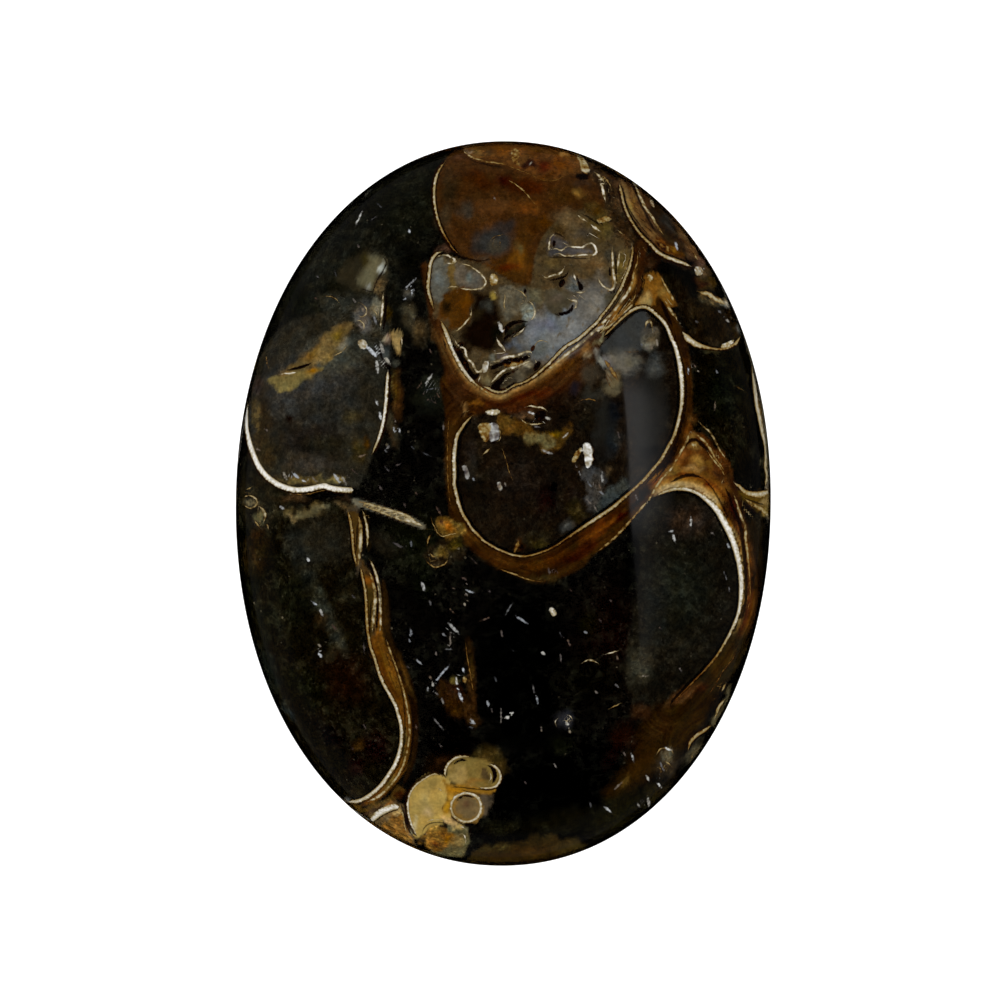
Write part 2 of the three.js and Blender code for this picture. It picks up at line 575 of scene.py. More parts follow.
lower_left_whorl_picture = [
    (pour, "#0b0701", lower_chamber, 0.3, 1.0, SPECKLED),
    ("#1f1c13", (322, 540, 44, 34, -10), 0.7, 1.0, SMOKY),
    ("#20201a", (300, 560, 16, 44, 18), 0.8),
    ("#1d1e16", (316, 595, 12, 40, 22), 0.8),
    ("#222118", (335, 632, 9, 36, 22), 0.8),
    ("#0e0d04", (290, 600, 34, 60, 0), 0.8),
    ("#111005", (262, 620, 12, 30, 10), 0.8),
    ("#251b0c", (322, 620, 8, 12, 30), 0.8),
    ("#120500", (345, 680, 34, 40, 20), 0.8),
    ("#0f0d02", (296, 680, 14, 22, 20), 0.8),
    ("#070700", (310, 690, 24, 30, 20), 0.9, 0.8),
    ("#030000", (334, 738, 34, 16, -40), 0.8),
    ("#0a0000", (375, 748, 20, 24, 20), 0.8),
    ("#321d03", (357, 745, 8, 12, -30), 0.8),
    ("#0c0000", (356, 765, 14, 16, 0)),
    ("#1f2320", (288, 712, 5, 18, 30)),
    ("#131610", (270, 672, 9, 40, 20), 0.8),
    ("#18150a", (348, 590, 16, 26, 0), 0.9, 0.8),
    ("#1c1506", (356, 792, 14, 6, 20), 0.8, 1.0, SPECKLED),
    (pour, "#56360a", between_walls, 0.1, 1.0, STREAKY),
    ("#5b3906", (384, 664, 7, 36, 24), 0.8),
    ("#4b3e18", (370, 622, 4, 26, 0), 0.8),
    ("#3c2f11", (404, 742, 4, 30, 0), 0.8),
    ("#5c4a1e", (388, 784, 14, 5, 45), 0.8),
    (pour, "#1b0e02", outer_brown, 0.12, 1.0, STREAKY),
    ("#402c0c", (405, 678, 4, 34, 20), 0.8),
    ("#291804", (384, 610, 4, 30, 0)),
    (stain, "#3d3426", upper_olive_band, 0.08, 1.0, STREAKY),
    (stain, "#3c2d15", lower_olive_band, 0.08, 1.0, STREAKY),
    (stain, "#191002", dark_sliver, 0.1),
    (stain, "#503b13", crescent_filling, 0.1, 1.0, (0.5, 0.0, 0.4, 0.0)),
    ("#6b675d", (346, 800, 6, 4, 0)),
    ("#4f472d", (310, 512, 24, 7, 14), 0.8, 1.0, PLAIN),
    ("#5f5031", (293, 518, 8, 6, 0)),
    ("#1f0f00", (258, 532, 12, 8, 20)),
    ("#635c41", (322, 508, 9, 4, 0)),
    ("#433620", (345, 505, 14, 5, -10)),
]
paint(lower_left_whorl_picture)

# %% [markdown]
# ### The chain of whorls
# The large shell up the middle is cut through its spire, so its whorls lie one above the other, each with a
# white wall. Iron-stained amber chalcedony fills the gaps between them, painted first and then covered by
# the chambers.

# %% Amber round the whorls
upper_band = [
    (424, 262), (427, 300), (431, 320), (437, 342), (444, 364), (449, 385), (470, 396), (505, 404),
    (545, 400), (580, 382), (600, 350), (620, 322), (640, 290), (644, 262), (640, 240), (560, 300),
    (470, 300),
]
middle_band = [
    (440, 382), (452, 372), (474, 396), (505, 404), (560, 396), (596, 352), (620, 322), (646, 290),
    (664, 300), (678, 322), (688, 350), (692, 385), (692, 415), (689, 436), (674, 462), (654, 492),
    (640, 510), (625, 528), (612, 540), (603, 548), (592, 556), (584, 566), (570, 574), (556, 579),
    (545, 582), (532, 581), (521, 577), (510, 572), (499, 569), (487, 562), (476, 554), (463, 541),
    (452, 522), (448, 500), (446, 450), (445, 410),
]
honey_layers = [(0.0, "#8b7143", 1), (0.1, "#84693a", 1), (0.2, "#6a4a20", 0.7), (0.36, "#4a2c0c", 0)]
honey_edge = [(445, 330), (449.5, 343), (455, 355), (462, 368), (470, 379.5), (480, 389.5), (492, 394),
              (504, 394.5), (514, 389), (524, 385), (536, 378), (547, 370), (558, 360), (570, 350)]
amber_round_the_whorls_picture = [
    (pour, "#291602", middle_band, 0.12, 1.0, STREAKY),
    (pour, "#311a06", upper_band, 0.14, 1.0, STREAKY),
    ("#3e2a11", (440, 345, 6, 36, 22), 0.8),
    ("#341f0c", (458, 398, 14, 24, 0), 0.8),
    ("#341e05", (452, 450, 8, 60, 0), 0.8),
    ("#7f5120", (484, 392, 24, 6, -20), 0.8),
    ("#5b3609", (560, 368, 34, 6, 38)),
    ("#8e6c36", (620, 312, 9, 24, -38)),
    ("#737054", (600, 338, 4, 12, -42)),
    ("#6d522d", (585, 349, 5, 14, -45)),
    ("#532903", (600, 528, 34, 9, 40), 0.8),
    ("#2e1400", (560, 558, 50, 9, 18), 0.8),
    ("#3a1d01", (530, 566, 16, 8, 0)),
    ("#180000", (575, 557, 22, 7, 24)),
    ("#000000", (470, 546, 12, 8, -50)),
    ("#391f04", (500, 560, 30, 7, -25), 0.8),
    ("#402707", (468, 538, 10, 14, 45), 0.8),
    ("#30260e", (543, 578, 22, 4, 0), 0.8),
    ("#2f1001", (585, 548, 26, 9, 40)),
    ("#030000", (640, 498, 26, 6, 40), 0.8),
    ("#0f0000", (662, 474, 7, 24, -32), 0.8),
    ("#1e0f06", (683, 344, 4, 24, 14)),
    ("#452d0f", (692, 420, 8, 8, 0)),
    ("#381100", (520, 396, 60, 9, 8), 0.8),
    (skirt, honey_layers, honey_edge, -1, 0.4),
    ("#8f7142", (466, 408, 6, 4, 0), 0.8),
    ("#77684e", (586, 356, 9, 5, 40)),
    ("#6c450f", (476, 404, 12, 5, 0)),
    ("#230300", (622, 516, 14, 5, 42)),
]
paint(amber_round_the_whorls_picture)

# %% [markdown]
# The topmost shell is cut near its tip. It shows a small chamber, a lens beside it and a tongue of amber,
# with clouds of brown and gold in them. Across the chamber's lower half the paler clouds are partly a painted
# reflection, a soft veil of light laid into the colour.

# %% Top whorls
top_chamber = [
    (445, 160), (436, 178), (435, 200), (442, 226), (453, 246), (470, 260), (500, 268), (530, 285),
    (560, 260), (600, 240), (612, 205), (600, 178), (570, 174), (530, 172), (490, 160), (462, 149),
]
top_lens = [
    (462, 147), (480, 142), (500, 139), (545, 141), (580, 153), (590, 170), (572, 174), (556, 180),
    (540, 179), (520, 171), (497, 163), (474, 158),
]
amber_tongue = [
    (527, 216), (531, 240), (531, 262), (529, 280), (524, 286), (512, 281), (498, 271), (484, 264),
    (470, 259), (490, 259), (505, 252), (512, 238), (518, 226),
]
dark_hole = [(574, 178), (579, 173.5), (586, 173), (591, 178), (584, 180)]
top_whorls_picture = [
    (pour, "#382008", top_chamber, 0.14, 1.0, (0.45, 0.1, 0.0, 0.1)),
    ("#2a1d0c", (449, 188, 14, 26, 0), 0.8),
    ("#382b19", (446, 215, 12, 20, -20)),
    ("#351701", (478, 180, 28, 12, -20), 0.8),
    ("#482d18", (461, 158, 5, 4, 0), 0.8),
    ("#240200", (505, 182, 18, 10, -20)),
    ("#371400", (530, 187, 32, 13, -4), 0.7),
    ("#351f05", (560, 196, 26, 13, -10), 0.8),
    # painted reflection: these clouds across the chamber's lower half, the amber ones and the grey ones below
    # them, are partly a soft veil of light laid into the filling's colour
    ("#4e2f12", (495, 206, 34, 11, 0), 0.8),
    ("#532d08", (528, 206, 24, 10, 0), 0.8),
    ("#412200", (548, 222, 18, 14, 0)),
    ("#341a00", (532, 228, 9, 16, 0)),
    ("#372e22", (466, 209, 13, 11, 0), 0.8),
    ("#4f2b00", (508, 262, 34, 22, -18), 0.5),
    (stain, "#3b2206", amber_tongue, 0.5, 1.0, (0.35, 0.0, 0.0, 0.0)),
    ("#2a2926", (493, 242, 27, 19, 12), 0.55, 1.0, (0.35, 0.2, 0.0, 0.0)),
    ("#29221e", (504, 226, 15, 10, 0), 0.7, 1.0, (0.35, 0.2, 0.0, 0.0)),
    ("#3a352a", (496, 248, 14, 8, 10)),
    ("#663e08", (519, 256, 12, 20, -8)),
    ("#504525", (519, 249, 7, 10, 0)),
    ("#461900", (508, 267, 16, 6, 0), 0.8),
    ("#423323", (484, 261, 14, 4, -14), 0.8),
    (pour, "#4e2f0f", top_lens, 0.08, 1.0, (0.5, 0.0, 0.0, 0.0)),
    ("#553f1c", (478, 152, 15, 7, -15), 0.8),
    ("#786248", (468, 150, 4, 3, 0), 0.7),
    ("#633806", (500, 150, 13, 9, -10), 0.8),
    ("#442501", (535, 153, 13, 7, -5), 0.8),
    ("#370e00", (545, 166, 16, 9, -5)),
    ("#250e04", (529, 166, 10, 4.5, 0), 0.5),
    ("#582e02", (560, 163, 16, 11, -20), 0.8),
    ("#7a582a", (563, 153, 5, 4, 0), 0.8),
    ("#3f1f00", (548, 176, 16, 4, 0), 0.8),
    (stain, "#030202", dark_hole, 0.1),
    ("#312011", (582, 183.5, 9, 4.5, 0), 0.5),
    ("#7c5c26", (578, 193, 10, 7, -20)),
    ("#433212", (592, 205, 9, 7, 0)),
]
paint(top_whorls_picture)

# %% [markdown]
# The whorl below is filled with milky blue-grey chalcedony that is crackled with brown. It has the most
# single patches, such as pebbles, a leaf and stripes, and each is a curve of its own. The paler clouds along
# its upper edge are partly the same painted reflection, a soft veil of light laid into the colour.

# %% Cracked whorl
cracked_chamber = [
    (446, 256), (434, 259), (430, 275), (430, 298), (440, 320), (452, 344), (466, 370), (484, 386),
    (500, 391), (520, 383), (548, 363), (580, 336), (606, 311), (624, 285), (632, 258), (632, 236),
    (618, 212), (596, 208), (568, 214), (546, 232), (535, 256), (530, 284), (512, 282), (484, 265),
    (462, 260),
]
grey_left = [(433, 261), (441, 259), (447, 263), (448, 286), (444, 297), (438, 303), (433, 298), (430, 275)]
grey_middle = [(457, 265), (466, 267), (476, 272), (484, 280), (481, 288), (470, 290), (458, 287)]
amber_block = [
    (446, 292), (452, 289), (465, 290), (472, 292), (471, 305), (470, 315), (467, 323), (460, 328),
    (452, 330), (445, 322), (439, 315), (439, 306), (443, 298),
]
hollow = [
    (474, 292), (486, 292), (494, 300), (500, 312), (500, 330), (500, 345), (490, 352), (478, 350),
    (468, 346), (461, 338), (463, 328), (472, 318), (472, 302),
]
brown_pebble = [(545, 296), (549, 290), (557, 288), (566, 290), (571, 297), (571, 307), (566, 313),
                (556, 314), (548, 308)]
grey_pebble = [(502, 288), (512, 287), (524, 288), (530, 297), (528, 304), (520, 308), (516, 318),
               (506, 320), (501, 308)]
pale_cluster = [(520, 306), (530, 305), (535, 311), (534, 318), (527, 322), (521, 316)]
leaf = [(504, 333), (512, 327), (522, 322), (530, 321), (527, 325), (518, 332), (508, 338)]
slate_blob = [(550, 254), (552, 242), (558, 238), (565, 241), (572, 247), (582, 249), (592, 249),
              (592, 255), (578, 254), (562, 254)]
gold_stripe = [(489, 363), (497, 359), (510, 357), (528, 356), (529, 361), (515, 364), (500, 367), (490, 369)]
dark_lens = [(494, 386), (502, 379), (512, 373), (524, 369), (535, 367), (531, 374), (522, 380), (510, 384),
             (502, 388)]
tan_gap = [(448, 261), (455, 262), (457, 284), (450, 286)]
cracked_whorl_picture = [
    (pour, "#433620", cracked_chamber, 0.1, 1.0, (0.45, 0.55, 0.0, 0.05)),
    # painted reflection: the paler clouds along the chamber's upper edge are partly a soft veil of light
    ("#56462c", (572, 222, 30, 14, -20), 0.8),
    ("#463214", (560, 230, 18, 12, 0)),
    ("#493b17", (602, 224, 20, 20, 0), 0.8),
    ("#3b2604", (596, 211, 14, 8, -10), 0.8),
    ("#3d3427", (583, 232, 14, 10, 0)),
    ("#584528", (592, 263, 30, 14, -8), 0.8),
    ("#564625", (553, 264, 15, 9, -8)),
    ("#564e40", (600, 278, 10, 12, 0)),
    ("#3d3627", (609, 256, 5, 13, 0), 0.8),
    ("#58461c", (619, 268, 8, 26, -10), 0.8),
    ("#5f4d25", (626, 262, 4, 22, -4)),
    ("#63686a", (556, 330, 56, 34, 30), 0.6, 1.0, (0.3, 0.2, 0.0, 0.0)),
    ("#5f5c55", (592, 302, 34, 26, 45), 0.7, 1.0, (0.3, 0.2, 0.0, 0.0)),
    ("#6e6e6b", (568, 332, 32, 15, 38)),
    ("#5f616b", (545, 325, 18, 11, 0)),
    ("#6e6f71", (534, 333, 12, 10, 20)),
    ("#6f6a5f", (596, 306, 14, 18, -35)),
    ("#595b55", (538, 348, 18, 12, 30)),
    ("#5f5941", (536, 296, 12, 12, 0)),
    ("#4f5453", (575, 285, 14, 10, 0), 0.9, 1.0, CRACKED),
    ("#3a3420", (614, 300, 10, 14, -40)),
    (stain, "#444140", slate_blob, 0.14, 0.9, (0.4, 0.1, 0.0, 0.0)),
    (stain, "#575448", grey_left, 0.12, 1.0, (0.35, 0.1, 0.0, 0.0)),
    ("#676c68", (439, 280, 7, 12, 0)),
    (stain, "#604c25", tan_gap, 0.12, 1.0, PLAIN),
    (stain, "#585043", grey_middle, 0.1, 1.0, (0.35, 0.1, 0.0, 0.0)),
    ("#555d59", (470, 278, 9, 8, 0)),
    ("#4b3e28", (437, 312, 4, 8, -20), 0.7),
    (stain, "#442705", amber_block, 0.14, 1.0, PLAIN),
    ("#180e02", (446, 306, 7, 13, 0), 0.8),
    ("#512f02", (464, 302, 7, 14, 0), 0.8),
    (stain, "#0e0501", hollow, 0.4, 1.0, (0.35, 0.0, 0.0, 0.1)),
    ("#2e2d25", (487, 306, 9, 10, 0), 0.8),
    ("#21190a", (478, 314, 7, 10, 0)),
    ("#050501", (496, 335, 7, 16, 0)),
    (stain, "#565040", grey_pebble, 0.14, 1.0, (0.4, 0.5, 0.0, 0.0)),
    (stain, "#787c70", pale_cluster, 0.12, 1.0, CRACKED),
    ("#877331", (493, 297, 4.5, 5.5, 0), 0.5, 1.0, EVEN),
    (stain, "#15150d", leaf, 0.1, 1.0, PLAIN),
    ("#4f545a", (516, 344, 8, 6, 0), 0.7),
    ("#404247", (508, 346, 8, 5, 0), 0.8),
    ("#140700", (468, 350, 6, 6, 0)),
    ("#575548", (492, 357, 6, 4, 0), 0.7),
    (stain, "#3e3523", gold_stripe, 0.1, 1.0, PLAIN),
    (stain, "#2f291e", dark_lens, 0.12, 1.0, PLAIN),
    ("#756846", (486, 378, 6, 7, 30), 0.8),
    ("#5c5846", (514, 386, 12, 3, 20), 0.8),
    (stain, "#433c2c", brown_pebble, 0.1, 1.0, (0.3, 0.1, 0.0, 0.0)),
    ("#504536", (557, 298, 9, 8, 0), 0.8),
    ("#4f4c50", (503, 357, 7, 3, 0), 0.8),
    ("#9c947a", (528, 366, 7, 3, 20), 0.8),
    ("#6a6048", (620, 300, 5, 12, -35)),
]
paint(cracked_whorl_picture)
dark_dots = [
    (525, 291), (505, 311), (553, 245), (552, 235), (563, 257), (572, 323), (582, 325), (559, 335),
    (554, 347), (578, 284), (571, 318), (604, 292), (597, 311), (547, 355), (566, 326), (541, 283),
    (536, 275), (600, 246),
]
DOT_BROWN = "#514226"
DOT_WIDE, DOT_HIGH = 2.8, 2.6
for x, y in dark_dots:
    cloud(DOT_BROWN, (x, y, DOT_WIDE, DOT_HIGH, 0), 0.7, 0.85)

# %% [markdown]
# The middle whorl is the largest section. Most of its filling is dark, and crusts of gold-olive, beige
# and slate grey lie at its upper walls.

# %% Middle whorl
middle_chamber = [
    (638, 310), (650, 312), (657, 318), (669, 334), (675, 352), (680, 374), (681, 390), (679, 410),
    (674, 428), (662, 452), (649, 473), (632, 490), (611, 507), (587, 523), (560, 540), (540, 551),
    (520, 554), (502, 550), (484, 539), (469, 523), (460, 505), (456, 487), (456, 465), (457, 443),
    (462, 427), (472, 417), (500, 408), (530, 404), (570, 396), (590, 378), (598, 356), (602, 342),
    (620, 324),
]
gold_olive = [
    (499, 415), (512, 418), (525, 421), (532, 430), (545, 433), (560, 432), (570, 426), (566, 440),
    (560, 448), (550, 450), (540, 447), (528, 443), (520, 436), (508, 434), (500, 428),
]
grey_beige = [(523, 436), (532, 434), (545, 436), (555, 440), (552, 447), (540, 446), (528, 442)]
slate_patch = [(603, 344), (634, 313), (645, 313), (649, 322), (646, 335), (642, 347), (641, 351),
               (625, 352), (606, 351)]
grey_crust = [
    (600, 500), (606, 490), (615, 484), (625, 478), (632, 490), (622, 499), (605, 510), (592, 519),
    (594, 508),
]
speckled_blotch = [
    (583, 470), (596, 467), (603, 474), (607, 480), (602, 488), (601, 500), (596, 510), (590, 512),
    (586, 505), (588, 492), (583, 480),
]
middle_whorl_picture = [
    (pour, "#130c05", middle_chamber, 0.1, 1.0, (0.75, 0.1, 0.0, 0.35)),
    ("#381703", (520, 405, 60, 9, 5)),
    ("#170c04", (560, 400, 34, 16, 15), 0.8),
    ("#17100a", (520, 480, 46, 36, 0)),
    ("#010000", (553, 492, 12, 30, 0)),
    ("#100b05", (478, 490, 16, 44, 0), 0.8),
    ("#201811", (470, 455, 10, 26, 0)),
    ("#181308", (538, 537, 26, 12, 20), 0.8),
    ("#282107", (538, 545, 12, 7, 0)),
    ("#0e0704", (575, 500, 9, 28, 10), 0.8),
    ("#281f06", (576, 512, 12, 16, 25), 0.9, 0.8, SPECKLED),
    (stain, "#4a320c", gold_olive, 0.14, 1.0, (0.7, 0.2, 0.0, 0.0)),
    ("#5f4601", (556, 434, 12, 6, 10), 0.8),
    (stain, "#675d38", grey_beige, 0.12, 1.0, CRACKED),
    ("#402e1c", (526, 414, 20, 6, 0)),
    ("#230f01", (519, 546, 7, 8, 0), 0.5),
    (stain, "#32312f", speckled_blotch, 0.14, 1.0, CRACKED),
    ("#342b1c", (608, 472, 5, 8, 0), 0.8),
    (stain, "#2e322f", grey_crust, 0.2, 1.0, CRACKED),
    ("#3e3d37", (567, 526, 13, 7, 32), 0.8, 0.9, CRACKED),
    ("#1b1a16", (604, 428, 16, 46, -4), 0.6, 1.0, EVEN),
    ("#14120e", (650, 412, 22, 66, -4), 0.5, 1.0, EVEN),
    (stain, "#30312f", slate_patch, 0.1, 1.0, EVEN),
    ("#565245", (650, 340, 11, 14, 0), 0.7, 1.0, CRACKED),
    ("#696352", (650, 343, 9, 8, 0), 0.8, 1.0, CRACKED),
    ("#635e52", (622, 362, 25, 17, -10), 0.7, 1.0, EVEN),
    ("#57503d", (630, 362, 12, 8, 0)),
    ("#61563c", (612, 384, 12, 16, -20), 0.8, 1.0, EVEN),
    ("#6a655f", (609, 363, 5, 13, 35), 0.8),
    ("#3e3f3b", (655, 366, 14, 18, 0)),
    ("#352d21", (590, 374, 13, 20, -10), 0.9, 1.0, EVEN),
    ("#1a1418", (574, 388, 12, 9, 30), 0.9, 1.0, EVEN),
    ("#292720", (592, 396, 16, 10, 0), 0.9, 1.0, EVEN),
    ("#16130e", (663, 405, 10, 46, 5), 0.8),
    ("#010000", (650, 452, 14, 16, 0), 0.8),
    ("#0b0d10", (614, 412, 11, 18, 0), 0.8),
    ("#151819", (612, 440, 12, 22, 0), 0.8),
    ("#110d06", (588, 420, 14, 22, 0), 0.8),
    ("#120f0b", (600, 452, 16, 16, 0), 0.8),
    ("#868273", (602, 364, 5, 13, 32), 0.8, 1.0, EVEN),
    ("#6f6c62", (597, 352, 6, 5, 0), 0.8, 1.0, EVEN),
    ("#695a42", (608, 376, 5, 8, 30), 0.8, 1.0, EVEN),
    ("#1d1912", (472, 470, 10, 22, 0)),
    ("#0a0000", (545, 500, 14, 20, 0)),
]
paint(middle_whorl_picture)

# %% [markdown]
# Where two whorls meet, the space between their walls is a triangle of gold and amber. Its layers follow
# one wall, so a skirt lays them at given distances from it.

# %% Gold between the whorls
large_triangle = [
    (690, 430), (682, 446), (670, 466), (656, 486), (650, 500), (667, 490), (680, 487), (692, 489),
    (706, 498), (722, 512), (736, 535), (744, 560), (748, 590), (752, 560), (747, 525), (736, 495),
    (727, 462), (712, 444),
]
triangle_foot = [
    (652, 498), (665, 490), (675, 487), (683, 486.5), (692, 488), (700, 491), (708, 497), (715, 503),
    (720, 509),
]
maroon_band = [
    (724, 466), (733, 478), (738, 490), (743, 510), (748, 530), (752, 550), (752, 580), (750, 600),
    (743, 602), (746, 575), (742, 556), (736, 535), (728, 516), (724, 500), (727, 484),
]
small_triangle = [
    (644, 275), (648, 273), (656, 274), (660, 278), (663, 284), (668, 292), (673, 300), (673, 306),
    (666, 301), (660, 297), (656, 300), (657, 306), (648, 306), (640, 307), (638, 303), (642, 296),
    (645, 290), (643, 284),
]
cream_layers = [(0.0, "#a8946a", 1), (0.14, "#9c8352", 1), (0.26, "#8a6424", 1), (0.42, "#7a4a10", 1),
                (0.52, "#5a2c08", 1), (0.66, "#7d5418", 0.6), (0.9, "#7d5418", 0)]
gold_between_the_whorls_picture = [
    (stain, "#482708", large_triangle, 0.1, 1.0, (0.45, 0.0, 0.3, 0.0)),
    (stain, "#2b1504", maroon_band, 0.1, 1.0, STREAKY),
    ("#684d20", (692, 436, 6, 6, 0)),
    ("#7c5b28", (695, 448, 8, 6, 0)),
    ("#886327", (697, 461, 12, 9, 0)),
    ("#6e4418", (680, 458, 5, 14, -30)),
    ("#9b7a45", (692, 469, 16, 6, 0)),
    ("#7a6434", (678, 485, 14, 4, 5)),
    ("#764810", (704, 491, 10, 9, -30), 0.8),
    ("#8f6a1e", (719, 506, 9, 6, -50), 0.8),
    ("#3b220d", (719, 474, 7, 12, 20), 0.8),
    ("#1f0e05", (665, 476, 4, 18, -35)),
    (skirt, cream_layers, triangle_foot, 1, 0.5),
    (stain, "#6f4913", small_triangle, 0.1, 1.0, PLAIN),
    ("#867445", (646, 302, 7, 6, 0)),
    ("#745a26", (662, 292, 6, 9, -30)),
    ("#54360c", (627, 303, 5, 20, -38)),
    ("#0c0600", (672, 282, 16, 12, -25), 0.8),
    ("#211003", (650, 262, 14, 10, 0), 0.8),
    ("#110902", (682, 300, 12, 30, 12), 0.8),
    ("#090100", (735, 512, 4, 13, 22), 0.7),
    ("#775a21", (672, 474, 14, 3, 25)),
    ("#3d0700", (706, 486, 10, 4, -40)),
    ("#54390f", (709, 464, 5, 12, 25)),
    ("#8a5a10", (730, 524, 4, 8, 25)),
    ("#8a652a", (634, 282, 4, 14, -14)),
    ("#926c24", (618, 312, 12, 3.5, 52)),
    ("#3a2008", (626, 300, 3, 12, -36)),
]
paint(gold_between_the_whorls_picture)

# %% [markdown]
# The right lower whorl is dark inside. Outside its wall grew thin brown bands, again laid as a skirt of
# layers.

# %% Right lower whorl
right_chamber = [
    (654, 501), (667, 493), (680, 492), (694, 496), (707, 507), (720, 524), (730, 543), (737, 566),
    (738, 590), (735, 612), (728, 632), (714, 654), (698, 674), (680, 692), (660, 700), (640, 702),
    (628, 690), (626, 660), (632, 620), (640, 570), (640, 530),
]
right_outer = [
    (728, 520), (735, 535), (740, 550), (743, 570), (744.5, 590), (743, 608), (739, 622), (731, 638),
]
right_band = [
    (742, 560), (743, 590), (738, 615), (726, 640), (708, 664), (690, 684), (672, 702), (690, 712),
    (712, 700), (732, 676), (748, 648), (758, 620), (764, 585), (762, 550), (752, 520),
]
rim_layers = [(0.0, "#8a7444", 1), (0.06, "#7a5c28", 1), (0.14, "#2a0a04", 1), (0.22, "#4a2406", 1),
              (0.32, "#5a350a", 1), (0.42, "#3a220a", 1), (0.6, "#140d06", 1), (0.9, "#0b0805", 0)]
right_lower_whorl_picture = [
    (pour, "#100d07", right_chamber, 0.2, 1.0, (0.7, 0.1, 0.0, 0.6)),
    ("#2a1f16", (690, 520, 34, 24, 0), 0.9, 1.0, SPECKLED),
    ("#12130c", (680, 590, 46, 60, 0), 0.8),
    ("#2b281c", (640, 664, 18, 30, -10), 0.8),
    ("#151510", (656, 610, 20, 60, 0), 0.8),
    ("#000000", (630, 560, 12, 60, 0), 0.8),
    (pour, "#1a1306", right_band, 0.12, 1.0, STREAKY),
    ("#302004", (722, 662, 9, 34, -32), 0.8),
    ("#391400", (690, 698, 28, 9, 40), 0.8),
    ("#1a1306", (757, 530, 10, 26, 0), 0.8, 0.8),
    (skirt, rim_layers, right_outer, 1, 0.8),
    ("#110801", (752, 540, 6, 22, 4)),
    ("#030300", (752, 580, 4, 24, 2)),
]
paint(right_lower_whorl_picture)

# %% [markdown]
# In the lower right the mud is crossed by an amber lens and, at the bottom, by a brown one.

# %% Lower right
amber_lens = [
    (694, 690), (668, 700), (648, 712), (638, 736), (626, 764), (606, 790), (612, 800), (640, 784),
    (664, 764), (690, 740), (706, 715), (716, 696),
]
bottom_lens = [(466, 862), (480, 850), (505, 843), (530, 838), (555, 838), (580, 843), (596, 850),
               (560, 866), (500, 872)]
grey_rim_lens = [(733, 686), (731, 694), (727, 703), (722, 714), (717, 724), (713, 724), (718, 712),
                 (723, 700), (728, 690)]
lower_right_picture = [
    (stain, "#1d1001", amber_lens, 0.5, 1.0, STREAKY),
    ("#442b13", (684, 694, 30, 8, 35), 0.8),
    ("#281702", (640, 766, 28, 10, 48), 0.8),
    ("#44310f", (624, 783, 13, 5, 42)),
    ("#291905", (660, 728, 28, 16, 45), 0.8),
    ("#271506", (640, 712, 14, 10, 0), 0.8),
    ("#070000", (614, 752, 12, 26, -30), 0.8),
    ("#180500", (625, 735, 20, 20, 0), 0.8, 0.8),
    ("#100d01", (620, 812, 50, 24, 35), 0.8),
    ("#0b0902", (560, 822, 60, 18, 10), 0.8),
    ("#4c442f", (694, 752, 18, 9, 50), 0.8, 0.9, CRACKED),
    ("#33291a", (668, 764, 20, 16, 45), 0.8, 0.9, CRACKED),
    ("#211b08", (655, 795, 14, 16, 45), 0.8, 0.9, CRACKED),
    (stain, "#2f250d", bottom_lens, 0.2, 1.0, STREAKY),
    ("#3d2d0c", (528, 852, 46, 7, 4), 0.8),
    ("#0e0d04", (500, 828, 26, 12, 0), 0.8),
    (stain, "#4f4730", grey_rim_lens, 0.14, 1.0, PLAIN),
    ("#5e5843", (667, 756, 9, 8, 0), 0.8),
]
paint(lower_right_picture)

# %% [markdown]
# ### Shells at the upper right, the rim and the middle
# These are slices through the edges of other shells, so only strips of their walls and fillings show.

# %% Upper right shells
wall_gap = [
    (604, 172), (622, 180), (640, 186), (660, 208), (680, 232), (696, 258), (690, 268), (664, 258),
    (642, 236), (624, 212), (612, 192),
]
amber_strip = [
    (620, 184), (630, 186), (638, 200), (644, 214), (652, 228), (660, 240), (652, 242), (640, 228),
    (630, 214), (623, 198),
]
slate_strip = [(655, 204), (668, 218), (682, 240), (688, 256), (680, 260), (668, 244), (658, 228), (651, 212)]
rim_strip = [(664, 208), (682, 228), (698, 252), (704, 264), (696, 258), (684, 240), (672, 224)]
orange_strip = [(652, 234), (664, 240), (676, 248), (684, 258), (672, 258), (660, 252)]
small_shell = [(694, 300), (716, 302), (734, 312), (740, 330), (728, 344), (706, 345), (690, 336), (684, 318)]
pale_wedge = [
    (585, 160), (602, 170), (616, 182), (622, 200), (626, 222), (636, 240), (628, 244), (612, 226),
    (602, 200), (592, 180),
]
